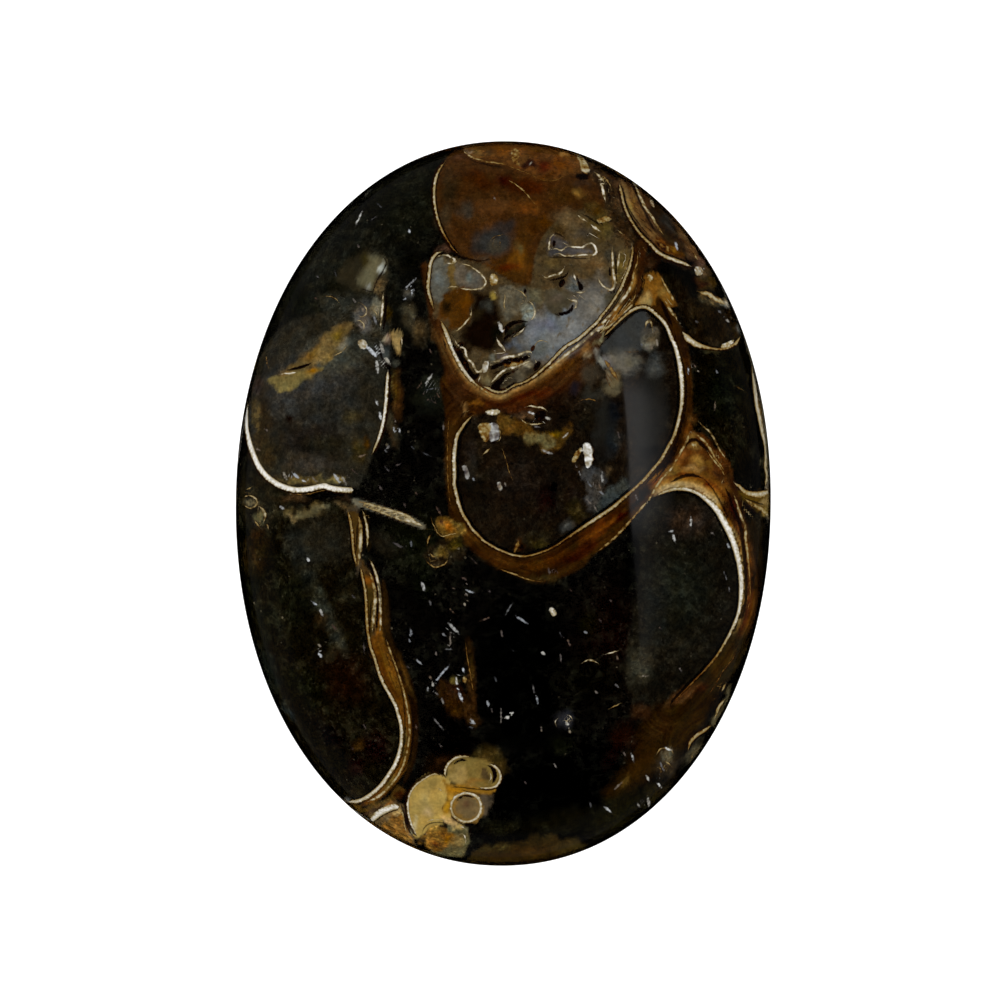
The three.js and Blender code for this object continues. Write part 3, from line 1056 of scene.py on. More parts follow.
upper_right_shells_picture = [
    (stain, "#3a2613", wall_gap, 0.2, 1.0, STREAKY),
    (stain, "#5f4725", amber_strip, 0.1, 1.0, STREAKY),
    ("#6b5426", (632, 205, 5, 16, -25), 0.8),
    (stain, "#1f1305", slate_strip, 0.15),
    (stain, "#4e361c", rim_strip, 0.12),
    (stain, "#391d00", orange_strip, 0.15),
    (stain, "#150d03", small_shell, 0.25, 1.0, (0.9, 0.2, 0.0, 0.6)),
    ("#423210", (706, 282, 13, 9, -30), 0.8),
    ("#3d311a", (704, 295, 7, 5, -20), 0.6, 0.9, CRACKED),
    ("#57452d", (717, 302, 7, 5, -20), 0.6, 0.9, CRACKED),
    ("#62583f", (725, 300, 4, 5, 0), 0.6, 0.9, CRACKED),
    ("#2c2814", (713, 350, 12, 4, 0), 0.8),
    ("#010001", (690, 262, 12, 8, -30), 0.8),
    ("#4e3627", (702, 264, 7, 9, 0), 0.8, 0.9, CRACKED),
    (stain, "#2d1f0e", pale_wedge, 0.2, 1.0, (0.9, 0.5, 0.5, 0.0)),
    ("#23180b", (622, 226, 10, 18, -20), 0.8),
    ("#928f83", (728, 303, 7, 5, 0), 0.8, 1.0, CRACKED),
    ("#4e3b23", (704, 271, 10, 6, 0)),
    ("#493121", (443, 249, 10, 5, 0)),
    ("#555147", (740, 330, 4, 8, 0), 0.8),
    ("#5e370b", (661, 243, 7, 6, -40)),
    ("#754e0b", (673, 250, 8, 5, -40)),
    ("#201e1a", (668, 222, 8, 18, 35)),
    ("#574024", (683, 232, 4, 20, 35)),
    ("#1e0800", (702, 282, 12, 8, -20)),
]
paint(upper_right_shells_picture)

# %% [markdown]
# At the right rim the side of another shell is cut. It is a narrow strip of brown with a paler patch at
# its upper end.

# %% Right rim shell
rim_shell = [
    (750, 345), (762, 385), (769, 420), (773, 460), (774, 520), (766, 518), (766, 490), (765, 458),
    (759, 420), (753, 380),
]
rim_patch = [(738, 492), (752, 494), (772, 493), (773, 518), (764, 514), (752, 505)]
right_rim_shell_picture = [
    (stain, "#686050", rim_shell, 0.1, 1.0, (0.4, 0.0, 0.2, 0.0)),
    ("#8f8458", (769, 440, 5, 50, -6), 0.8),
    ("#040100", (757, 400, 4, 40, -8), 0.8),
    (stain, "#4f3907", rim_patch, 0.14, 1.0, EVEN),
    ("#7c693d", (768, 502, 7, 12, 0), 0.8),
    ("#5c4418", (760, 412, 2.5, 20, 8), 0.8),
    ("#a89c80", (767, 425, 3, 34, 6), 0.8),
]
paint(right_rim_shell_picture)

# %% [markdown]
# Between the whorls lie a small knot of orange and olive chalcedony and a thin amber streak.

# %% Knot and streak in the middle
orange_knot = [(436, 520), (448, 517), (462, 524), (465, 536), (455, 541), (444, 539)]
olive_knot = [(430, 546), (444, 540), (462, 540), (464, 552), (452, 562), (444, 568), (432, 565), (426, 556)]
amber_streak = [
    (466, 640), (473, 645), (476, 680), (476, 708), (482, 722), (476, 727), (465, 720), (450, 706),
    (438, 694), (440, 682), (462, 694), (468, 700), (467, 670),
]
knot_and_streak_in_the_middle_picture = [
    (stain, "#543f14", orange_knot, 0.12, 1.0, SPECKLED),
    (stain, "#1a1207", olive_knot, 0.2, 1.0, SPECKLED),
    ("#6c4106", (450, 527, 10, 6, -10), 0.8),
    ("#3c2f05", (455, 545, 10, 7, 0), 0.8),
    ("#6b592c", (440, 552, 9, 8, 0)),
    ("#1d0709", (440, 523, 3, 4, 0), 0.7),
    (stain, "#261604", amber_streak, 0.2, 1.0, SPECKLED),
    ("#392707", (471, 668, 3, 26, 3)),
    ("#1f0b02", (454, 688, 12, 8, -30), 0.8),
    ("#321b01", (455, 708, 16, 10, -40)),
]
paint(knot_and_streak_in_the_middle_picture)

# %% [markdown]
# ### Small snail
# Near the bottom a small snail is cut through its coil, so its whorls are round discs filled with cream
# chalcedony, each with a thin white shell round it.

# %% Small snail's chambers
snail_body = [
    (441, 775), (430, 774), (420, 779), (412, 788), (408, 799), (408, 812), (411, 826), (417, 838),
    (430, 828), (446, 822), (452, 812), (446, 800), (450, 788), (449, 778),
]
snail_gold = [
    (442, 778), (452, 784), (474, 785), (492, 786), (494, 791), (478, 793), (462, 797), (452, 806),
    (446, 815), (442, 808), (446, 800), (446, 788),
]
snail_foot = [(446, 820), (456, 822), (468, 827), (471, 836), (467, 848), (454, 857), (440, 858),
              (430, 852), (446, 842)]
upper_pair = [(447, 770), (454, 760), (466, 757), (484, 760), (497, 768), (500, 778), (494, 787),
              (480, 787), (462, 785), (450, 782)]
rim_wedge = [(368, 814), (384, 804), (402, 806), (406, 820), (410, 834), (420, 846), (400, 842), (384, 832)]
rim_orange = [(383, 822), (392, 817), (402, 816), (407, 832), (414, 844), (398, 839), (388, 832)]
small_snail_chambers_picture = [
    ("#34280c", (486, 765, 25, 22, -20), 0.5),
    ("#120700", (440, 765, 26, 16, 20), 0.8),
    ("#2a1707", (440, 762, 12, 5, 30)),
    ("#4e4231", (484, 803, 9, 17, 0), 0.5, 1.0, EVEN),
    (stain, "#5c4829", rim_wedge, 0.12),
    (stain, "#76521e", rim_orange, 0.14, 1.0, SPECKLED),
    (pour, "#a58945", snail_body, 0.08, 1.0, EVEN),
    ("#a08a4f", (424, 800, 12, 20, -15)),
    ("#856d36", (434, 783, 9, 7, 0)),
    ("#ae9565", (428, 812, 10, 9, 0)),
    ("#bbae83", (414, 826, 5, 12, -15)),
    (stain, "#855f1a", snail_gold, 0.1, 1.0, EVEN),
    ("#9d6c0d", (456, 789, 12, 4, 0), 0.8),
    ("#a47716", (446, 808, 3.5, 8, 0), 0.8),
    ("#ce9e39", (451, 797, 5, 6, 0)),
    (stain, "#585132", snail_foot, 0.1, 1.0, (0.6, 0.6, 0.0, 0.0)),
    ("#967d46", (458, 842, 7, 10, 0), 0.9, 0.8),
    ("#d7af6e", (450, 821, 12, 4, -20), 0.8, 1.0, EVEN),
    ("#755119", (436, 838, 14.5, 14.5, 0), 0.2, 1.0, SPECKLED),
    ("#8f6926", (434, 829, 10, 6, 0), 0.8),
    ("#572d02", (436, 842, 6, 4.5, 0), 0.8),
    ("#8c5d00", (449, 840, 8, 10, 0)),
    (pour, "#74602d", upper_pair, 0.08, 1.0, EVEN),
    ("#8f7640", (459, 774, 11, 11, 0), 0.3, 1.0, EVEN),
    ("#4d3d22", (485, 775, 7.5, 7.5, 0), 0.25, 1.0, EVEN),
    ("#815f27", (473, 783, 18, 3.5, 0)),
    ("#7f602a", (467.5, 807.5, 16.5, 15.8, 0), 0.12, 1.0, EVEN),
    ("#695635", (467.5, 808, 13.5, 12.5, 0), 0.2, 1.0, EVEN),
    ("#5b432b", (467, 806, 8, 7, 0)),
    ("#c2a460", (458, 828, 7, 4, 0), 0.8, 1.0, EVEN),
    ("#ac915a", (397, 813, 7, 4, 0), 0.8),
    ("#716947", (469, 830, 4, 7, 0), 0.8),
]
paint(small_snail_chambers_picture)
# %% [markdown]
# Last come the small clouds that lie across the borders of the larger fields, and the needle of calcite that
# points from the left whorl to the knot.

# %% Small clouds
needle_body = [(353, 499), (370, 502.5), (388, 508), (404, 513.5), (416, 519.5), (425, 526), (422, 528.5),
               (408, 524), (395, 519), (380, 513.5), (366, 508.5), (354, 503.5)]
olive_strip = [(349, 512), (358, 514), (360, 530), (360, 546), (357, 566), (353, 548), (351, 530)]
olive_strip_below = [(363, 574), (371, 580), (374, 600), (372, 632), (368, 636), (366, 600)]
small_clouds_picture = [
    ("#594c1f", (455, 679, 5, 5, 0)),
    ("#232327", (564, 719, 14, 11, 0)),
    ("#493a11", (442, 552, 8, 8, 0)),
    ("#544d51", (551, 240, 5, 5, 0)),
    ("#1e1c12", (516, 330, 8, 8, 0)),
    ("#1a150b", (666, 790, 12, 12, 0)),
    ("#514938", (520, 376, 12, 12, 0)),
    ("#0c0808", (504, 342, 5, 5, 0)),
    ("#887143", (765, 503, 7, 8, 0)),
    ("#87733c", (764, 513, 6, 5, -30)),
    ("#2a1c14", (748, 505, 8, 4, -40)),
    ("#371702", (398, 792, 7, 10, -30)),
    ("#84551e", (389, 806, 10, 3, 30)),
    ("#3f2a19", (371, 811, 12, 3.5, 35)),
    ("#1a0804", (378, 809, 10, 3, 35)),
    ("#9c814a", (645, 296, 6, 6, 0)),
    ("#443b26", (711, 303, 12, 5, -25)),
    ("#8c866c", (720, 303, 8, 4, -25)),
    ("#52493b", (650, 330, 9, 6, 0)),
    ("#59330b", (687, 428, 4, 12, 0)),
    ("#7c5d23", (672, 468, 6, 12, -40)),
    ("#3c1008", (732, 505, 3, 14, 15)),
    (pour, "#6a6450", needle_body, 0.06, 1.0, EVEN),
    (pour, "#473210", olive_strip, 0.08, 1.0, EVEN),
    (pour, "#3d2d0b", olive_strip_below, 0.08, 1.0, EVEN),
    ("#78450d", (369, 581, 5, 9, 20)),
]
paint(small_clouds_picture)
print("ground painted, mean linear light", np.round(ground.mean(0), 4))

# %% [markdown]
# ## Shell walls and lines
# The shell itself turned to white chalcedony, so each whorl's wall is a crisp pale line with a thin black
# gap inside it. The lines are drawn in four families that are kept apart, because two distances can't be
# told from one number where lines run side by side: walls, ribs beside them, fine threads, and dark seams.

# %% Line families
FAR = 9.0
END_TAPER = 0.3
BLUNT_TAPER = 0.06
REACH = 1.2
FULL_WIDTH_WITHIN = 0.3
END_THINNER = 0.03


def family():
    """An empty family: far from everything, no width, no tone."""
    count = len(points)
    return {
        "edge": np.full(count, FAR),
        "line": np.tile(np.array([FAR, -1.0, 0.0]), (count, 1)),
        "gaps": np.tile(np.array([0.0, 0.0, FAR]), (count, 1)),
    }


walls, ribs, threads, seams = family(), family(), family(), family()


def draw(into, places, widths, tones=(0.8,), inside=1, gaps=(0.0, 0.0), blunt=False, closed=False):
    """Draws a line. widths in millimetres and tones are spread evenly along it. inside is 1 if the chamber
    lies on its left, and gaps are the widths of the dark gaps inside and outside it. Its ends thin out over
    the last stretch. The sign of a distance jumps where another line comes nearer, so the kept width falls
    with distance, else a false line would show at the jump."""
    line = curve(places, closed)
    near, distance, along = measure(line, REACH, plane)
    half = np.interp(along, np.linspace(0, 1, len(widths)), widths) / 2
    tone = np.interp(along, np.linspace(0, 1, len(tones)), tones)
    to_end = np.ones(near.size)
    if not closed:
        total = np.hypot(*np.diff(line, axis=0).T).sum()
        taper = BLUNT_TAPER if blunt else END_TAPER
        to_end = np.clip(np.minimum(along, 1 - along) * total / taper, 0, 1)
        half = half * np.sqrt(to_end) - END_THINNER * (1 - to_end)
    edge = np.abs(distance) - half
    half = half - 2 * np.maximum(edge - FULL_WIDTH_WITHIN, 0)
    better = edge < into["edge"][near]
    near = near[better]
    into["edge"][near] = edge[better]
    into["line"][near] = np.stack([distance * inside, half, tone], -1)[better]
    into["gaps"][near] = np.stack([to_end * gaps[0], to_end * gaps[1], edge], -1)[better]


# %% [markdown]
# A row of the table gives a wall's places, its widths and tones along the way, the side of its chamber, and
# its dark gaps.

# %% Walls
WALLS = {
    "top whorl, left": (
        [(447, 159), (438, 172), (434, 190), (436, 212), (442, 230), (452, 247), (461, 256)],
        (0.05, 0.11, 0.1, 0.1, 0.08, 0.04), (0.5, 0.76, 0.76, 0.68, 0.46, 0.4), 1, (0.05, 0.08),
    ),
    "cracked whorl, upper left": (
        [(443, 251), (436, 254), (431, 262), (429, 275), (428, 288), (430, 297), (434, 311)],
        (0.11, 0.13, 0.13, 0.12, 0.1), (0.72, 0.77, 0.77, 0.72, 0.56), 1, (0.04, 0.05),
    ),
    "cracked whorl, lower left": (
        [(440, 319), (443.5, 327), (446.5, 334), (452, 347.5), (456.5, 357), (461, 366), (466, 373),
         (471, 379.5), (477, 385.5)],
        (0.1, 0.16, 0.18, 0.18, 0.18, 0.18, 0.13), (0.56, 0.8, 0.86, 0.86, 0.86, 0.84, 0.76), 1, (0.03, 0.03),
    ),
    "cracked whorl, bottom and right": (
        [(482, 386), (488, 388), (494, 391), (502, 392), (508, 388.5), (514, 385.5), (522, 383), (530, 379),
         (538, 373), (545, 367), (553, 359), (565, 347), (575, 341), (583, 335), (590, 328.5), (598, 321),
         (601, 316.5), (608, 308), (615, 298), (621, 288), (625, 278), (629, 268), (632, 255), (633, 243)],
        (0.12, 0.11, 0.09, 0.11, 0.13, 0.13, 0.12, 0.1, 0.12, 0.1, 0.08),
        (0.7, 0.68, 0.64, 0.72, 0.72, 0.78, 0.75, 0.68, 0.71, 0.69, 0.5), 1, (0.03, 0.04),
    ),
    "middle whorl": (
        [(602, 338), (610, 330), (618, 322), (628, 313), (637, 308), (645, 307), (651, 310), (657, 315),
         (662, 320), (667, 327), (671, 337), (675, 346), (678.6, 359), (681, 374), (682, 388), (681.5, 405),
         (678.6, 420), (674, 436), (668, 447), (660.6, 460), (653, 469), (645, 478.5), (635, 488),
         (625, 496.7), (612, 507.7), (600, 516), (587.5, 524), (575, 532.5), (562.5, 541), (552.5, 547.5),
         (540, 552.5), (528, 556), (520, 556), (510, 554), (502, 551), (493.8, 547), (484, 541), (477, 534),
         (471, 527.5), (467, 521), (462.5, 514), (458.8, 504), (456, 493), (454, 484), (454.5, 475),
         (454, 460), (455, 447.5), (457, 436), (461, 429), (466, 422), (473, 415)],
        (0.06, 0.13, 0.14, 0.18, 0.13, 0.13, 0.12, 0.15, 0.08, 0.09, 0.11, 0.14, 0.15, 0.1),
        (0.6, 0.7, 0.88, 0.95, 0.78, 0.66, 0.6, 0.78, 0.42, 0.64, 0.66, 0.77, 0.88, 0.58), -1, (0.12, 0.05),
    ),
    "right lower whorl": (
        [(656, 496), (665, 491.5), (675, 489), (683, 489), (691, 490.5), (699, 494), (707, 500),
         (713, 505.5), (718.5, 512), (723, 520), (728.5, 530), (733, 541), (737.5, 556), (740.5, 572),
         (741.3, 590), (739.8, 607), (736, 620), (728.5, 636), (718, 654), (710, 664), (700, 675),
         (692.6, 682), (685, 690), (678, 697), (669, 707)],
        (0.12, 0.13, 0.14, 0.24, 0.27, 0.22, 0.2, 0.18, 0.13, 0.11, 0.1, 0.08, 0.07, 0.04),
        (0.7, 0.8, 0.88, 0.97, 0.97, 0.95, 0.94, 0.95, 0.88, 0.76, 0.56, 0.44, 0.36, 0.3), -1, (0.1, 0.0),
    ),
    "left whorl, left and bottom": (
        [(254, 366), (250.5, 376), (247.5, 388), (246.5, 400), (246.3, 414), (247, 430), (250, 444),
         (254, 456), (259, 466.5), (266, 475.5), (274, 482), (283, 486.5), (293.5, 489.5), (303, 489.5),
         (313, 488), (324, 485.6), (329, 487.4), (339, 489.3), (353, 490)],
        (0.1, 0.13, 0.14, 0.14, 0.2, 0.22, 0.22, 0.22, 0.21, 0.23, 0.22),
        (0.8, 1, 1, 1, 1, 1, 1, 1, 1, 1, 0.88), 1, (0.03, 0.07), True,
    ),
    "left whorl, right": (
        [(388, 369), (387, 384), (386, 400), (384.5, 414), (382, 427), (378.7, 438), (375, 447), (371, 456)],
        (0.11, 0.13, 0.13, 0.11, 0.06), (0.8, 0.94, 0.96, 0.93, 0.6), -1, (0.04, 0.09),
    ),
    "lower left whorl, top": (
        [(347, 509), (350, 520), (352, 532), (353, 545), (354.5, 557), (357, 567)],
        (0.09, 0.12, 0.12, 0.09), (0.52, 0.66, 0.64, 0.54), -1, (0.05, 0.03),
    ),
    "lower left whorl": (
        [(360, 565), (363, 580), (365.3, 592), (366.3, 608), (367, 624), (368.5, 636), (370.5, 647),
         (374.5, 658), (380, 676), (385.5, 687.5), (391, 697), (395.5, 706), (398.5, 715.5), (401, 726),
         (401.5, 738), (400, 749), (396, 762), (390, 772.5), (382, 784), (375, 791), (367, 797), (358, 801),
         (346, 802)],
        (0.09, 0.11, 0.12, 0.12, 0.12, 0.12, 0.13, 0.135, 0.14, 0.15, 0.16, 0.16, 0.14),
        (0.54, 0.64, 0.64, 0.6, 0.7, 0.78, 0.84, 0.88, 0.86, 0.91, 0.87, 0.87, 0.8), -1, (0.06, 0.03),
    ),
    "right rim shell": (
        [(752, 350), (753.5, 375), (756.5, 402), (759, 415), (761, 425), (763, 435), (765.5, 445), (766, 458),
         (765.5, 467), (767, 476), (765, 488)],
        (0.08, 0.13, 0.16, 0.15, 0.13, 0.1), (0.74, 0.82, 0.84, 0.8, 0.78, 0.72), -1, (0.14, 0.0),
    ),
    "right rim shell, bottom": (
        [(733, 481), (736, 484), (740, 487), (744.5, 491.5), (752, 494), (759, 494.5), (765, 493),
         (770, 490)],
        (0.1, 0.14, 0.18, 0.24, 0.26, 0.24), (0.66, 0.7, 0.68, 0.74, 0.78, 0.76), 1, (0.08, 0.0),
    ),
    "upper right shell": (
        [(619, 182), (621.3, 192.3), (624.3, 205.7), (629, 216.6), (634.5, 226), (642, 235.8), (650, 243.5),
         (656.8, 251), (664, 255.8), (675, 260), (684.5, 263.6), (692, 267)],
        (0.1, 0.11, 0.1, 0.1, 0.13, 0.14, 0.12), (0.64, 0.68, 0.66, 0.64, 0.74, 0.8, 0.76), 1, (0.07, 0.08),
    ),
    "small right shell": (
        [(682, 331), (685, 335), (690, 340.5), (697, 344.5), (705, 347), (713, 348.5), (722, 349),
         (730, 346.5), (736, 343), (741, 335)],
        (0.16, 0.24, 0.24, 0.16, 0.1, 0.09, 0.12, 0.12, 0.1),
        (0.74, 0.82, 0.82, 0.74, 0.62, 0.54, 0.62, 0.68, 0.56), 1, (0.06, 0.05),
    ),
    "crescent at the rim": (
        [(371, 821), (378, 814), (386, 809.5), (393, 807), (399, 807)],
        (0.2, 0.26, 0.28, 0.26, 0.2), (0.88, 0.94, 0.95, 0.92, 0.86), -1, (0.05, 0.0), True,
    ),
    "snail's body": (
        [(443, 776), (434, 774), (425, 778.5), (416, 785), (410, 793.5), (408, 803), (408.3, 813),
         (411, 823), (415, 832), (418, 838)],
        (0.06, 0.08, 0.09, 0.1, 0.06), (0.72, 0.76, 0.8, 0.88, 0.74), 1, (0.0, 0.09),
    ),
    "snail, upper left whorl": (
        [(446, 780), (445, 773), (447, 766), (452, 760), (459, 757), (467, 756.5), (473, 758)],
        (0.06, 0.1, 0.11, 0.11, 0.09, 0.05), (0.68, 0.78, 0.8, 0.8, 0.74, 0.6), -1, (0.0, 0.05),
    ),
    "snail, upper right whorl": (
        [(487, 763), (493, 765.5), (498, 769.5), (500.5, 776), (499, 782.5), (494, 787), (486, 788),
         (476, 787)],
        (0.06, 0.11, 0.11, 0.11, 0.1, 0.08, 0.05), (0.66, 0.8, 0.82, 0.82, 0.8, 0.74, 0.66), -1, (0.0, 0.05),
    ),
    "wall near the right rim": (
        [(713, 724), (705, 730), (696, 736), (690, 743), (688, 752)],
        (0.08, 0.14, 0.13, 0.08), (0.6, 0.68, 0.66, 0.56), 1, (0.05, 0.05),
    ),
}
for places, *rest in WALLS.values():
    draw(walls, places, *rest)
snail_ring = [(466, 793), (454.5, 798), (451, 808), (455, 817), (466, 821.8), (476.5, 818), (481, 808),
              (477.5, 797.5)]
draw(walls, snail_ring, (0.12, 0.12, 0.13, 0.12), (0.8, 0.72, 0.84, 0.84), 1, (0.0, 0.0), closed=True)
print(len(WALLS) + 1, "walls")

# %% [markdown]
# Ribs are the second pale lines beside the walls, often the outer face of the same shell.

# %% Ribs
RIBS = {
    "outside the cracked whorl": (
        [(545, 372), (555, 364), (567, 354), (580, 344), (592, 333), (600, 326), (607, 318), (614, 311),
         (622, 300), (628, 292), (632, 283), (634, 272), (637, 262), (638, 251)],
        (0.13, 0.14, 0.14, 0.13, 0.12, 0.13, 0.1, 0.06), (0.68, 0.77, 0.78, 0.8, 0.75, 0.78, 0.6, 0.5),
    ),
    "below the cracked whorl": (
        [(466, 376), (474, 382.5), (482, 389), (490, 393.5), (498, 395.5), (507, 395)],
        (0.05, 0.1, 0.08, 0.05), (0.6, 0.64, 0.56, 0.4),
    ),
    "under the top lens": (
        [(462, 149), (467, 154), (474, 158), (484, 161), (497, 163), (505, 164.5), (519, 170), (530, 174),
         (540, 179), (548, 181), (556, 180), (564, 176), (572, 173)],
        (0.08, 0.1, 0.06, 0.05, 0.04, 0.04), (0.66, 0.62, 0.42, 0.42, 0.4, 0.42),
    ),
    "top of the lens": ([(580, 172), (585, 172), (591, 172.5)], (0.08, 0.09, 0.07), (0.6, 0.62, 0.56)),
    "beads under the middle whorl": (
        [(496, 567), (505, 571), (514, 574), (524, 578), (533, 580.5), (545, 582)],
        (0.05, 0.08, 0.07, 0.04), (0.44, 0.6, 0.54, 0.4),
    ),
    "beads right of the band": (
        [(596, 553), (603, 547), (608, 543.5), (613, 539), (618, 534), (624, 528), (630, 521), (637, 513),
         (643, 506), (648, 500)],
        (0.05, 0.1, 0.11, 0.1, 0.13, 0.1, 0.09, 0.11, 0.09),
        (0.45, 0.56, 0.6, 0.56, 0.6, 0.54, 0.52, 0.62, 0.6),
    ),
    "left of the large triangle": (
        [(647, 504), (651, 496), (655, 489), (662, 478), (671, 469), (678.5, 456), (686, 442), (690.5, 431)],
        (0.1, 0.12, 0.11, 0.12, 0.13), (0.66, 0.64, 0.66, 0.64, 0.66),
    ),
    "right of the large triangle": (
        [(691, 432), (696, 435), (701, 438.5), (705.5, 442.5), (711, 450), (715, 458), (721.5, 466.5),
         (725, 473)],
        (0.13, 0.12, 0.1, 0.07), (0.64, 0.62, 0.56, 0.46),
    ),
    "outside the maroon band": (
        [(733, 492), (737, 503), (739.5, 512), (743, 521), (745.6, 528), (745.5, 537), (747.3, 552),
         (749.5, 575), (750, 596), (747, 614)],
        (0.07, 0.11, 0.13, 0.12, 0.08, 0.06, 0.05), (0.6, 0.7, 0.68, 0.6, 0.5, 0.46, 0.42),
    ),
    "outside the right lower whorl": (
        [(740, 640), (737, 646), (733, 658), (723, 671), (714.5, 686), (706, 698)],
        (0.04, 0.05, 0.05, 0.04), (0.3, 0.4, 0.36, 0.32),
    ),
    "lower left whorl, second line": (
        [(357.5, 514), (360, 522), (360.6, 534), (360.4, 546), (359, 558), (358, 568)],
        (0.11, 0.16, 0.17, 0.14, 0.09), (0.5, 0.64, 0.74, 0.74, 0.6),
    ),
    "lower left whorl, below it": (
        [(369, 570), (372.5, 581), (375, 592), (375, 602), (373.8, 615), (372, 632)],
        (0.1, 0.15, 0.16, 0.13), (0.56, 0.66, 0.76, 0.68),
    ),
    "lower left whorl, outer wall": (
        [(386, 639), (390.5, 652), (395.5, 666), (401, 682), (404.5, 695), (407, 708), (409, 719),
         (409.4, 731), (408.3, 745), (405.5, 758), (401, 770), (394, 781), (387, 789), (379, 796),
         (367, 802)],
        (0.1, 0.09, 0.09, 0.11, 0.12, 0.11, 0.11, 0.13, 0.13),
        (0.58, 0.6, 0.6, 0.66, 0.63, 0.58, 0.62, 0.72, 0.76),
    ),
    "upper right shell, second line": (
        [(634, 183), (640.7, 198), (645.4, 207.5), (651.7, 216), (656.5, 225), (664.4, 236)],
        (0.08, 0.12, 0.11, 0.08), (0.66, 0.74, 0.72, 0.5),
    ),
    "under the right rim shell": (
        [(744, 498), (751, 503.5), (758, 507), (765, 512), (771, 518)], (0.1, 0.18, 0.2, 0.18),
        (0.52, 0.62, 0.66, 0.66),
    ),
    "small right shell, upper wall": (
        [(696, 291), (702, 292.5), (708, 294), (714, 298), (720, 301), (726, 305)], (0.1, 0.2, 0.24, 0.16),
        (0.56, 0.67, 0.68, 0.6),
    ),
    "rib in the cracked whorl": (
        [(612, 246), (612, 258), (613, 270), (613, 282), (612, 288.5), (607.5, 291), (602, 289)],
        (0.07, 0.09, 0.08, 0.07, 0.08, 0.06), (0.58, 0.58, 0.58, 0.58, 0.6, 0.56),
    ),
    "needle, upper edge": (
        [(354, 500.5), (368, 504), (384, 508.5), (400, 513), (411, 518), (418, 523)],
        (0.07, 0.1, 0.11, 0.12, 0.08), (0.5, 0.66, 0.7, 0.7, 0.6),
    ),
    "needle, lower edge": (
        [(360, 505), (375, 510), (390, 515.5), (402, 519.5), (412, 521.5), (425, 527)],
        (0.06, 0.1, 0.1, 0.16, 0.08), (0.6, 0.66, 0.68, 0.78, 0.7),
    ),
    "edge of the small triangle": (
        [(660, 275), (666, 287), (671, 295), (674, 302), (673, 306)], (0.08, 0.1, 0.11, 0.09),
        (0.5, 0.62, 0.66, 0.6),
    ),
    "right of the dark prong": (
        [(663.5, 298), (667, 304), (671, 311), (675, 316), (678, 321)], (0.08, 0.13, 0.14, 0.12),
        (0.56, 0.66, 0.7, 0.66),
    ),
    "top edge of the middle whorl": (
        [(598, 335), (607, 327.5), (615, 322), (622, 316), (630, 307), (636, 302)], (0.08, 0.12, 0.12, 0.1),
        (0.6, 0.7, 0.7, 0.64),
    ),
    "grey line under the left whorl": (
        [(283, 492.5), (300, 494.5), (313, 493), (324, 490.5), (345, 494)], (0.03, 0.05, 0.05, 0.04),
        (0.42, 0.48, 0.48, 0.44),
    ),
    "cream at the lower right rim": ([(727, 682), (724, 687), (721, 693)], (0.12, 0.14, 0.1),
                                     (0.6, 0.62, 0.58)),
    "cream below it": ([(726, 698), (719, 707), (714, 720)], (0.12, 0.14, 0.1), (0.64, 0.66, 0.6)),
    "left of the middle whorl": (
        [(451, 510), (449, 495), (447.5, 470), (447.5, 440), (449, 415)], (0.04, 0.05, 0.05, 0.05, 0.04),
        (0.4, 0.44, 0.44, 0.42),
    ),
}
for row in RIBS.values():
    draw(ribs, *row)
print(len(RIBS), "ribs")

# %% [markdown]
# Threads are the fine pale outlines and squiggles inside the fillings and in the mud. Each row gives the
# places, the widest width and the brightest tone, which both fall off to the ends.

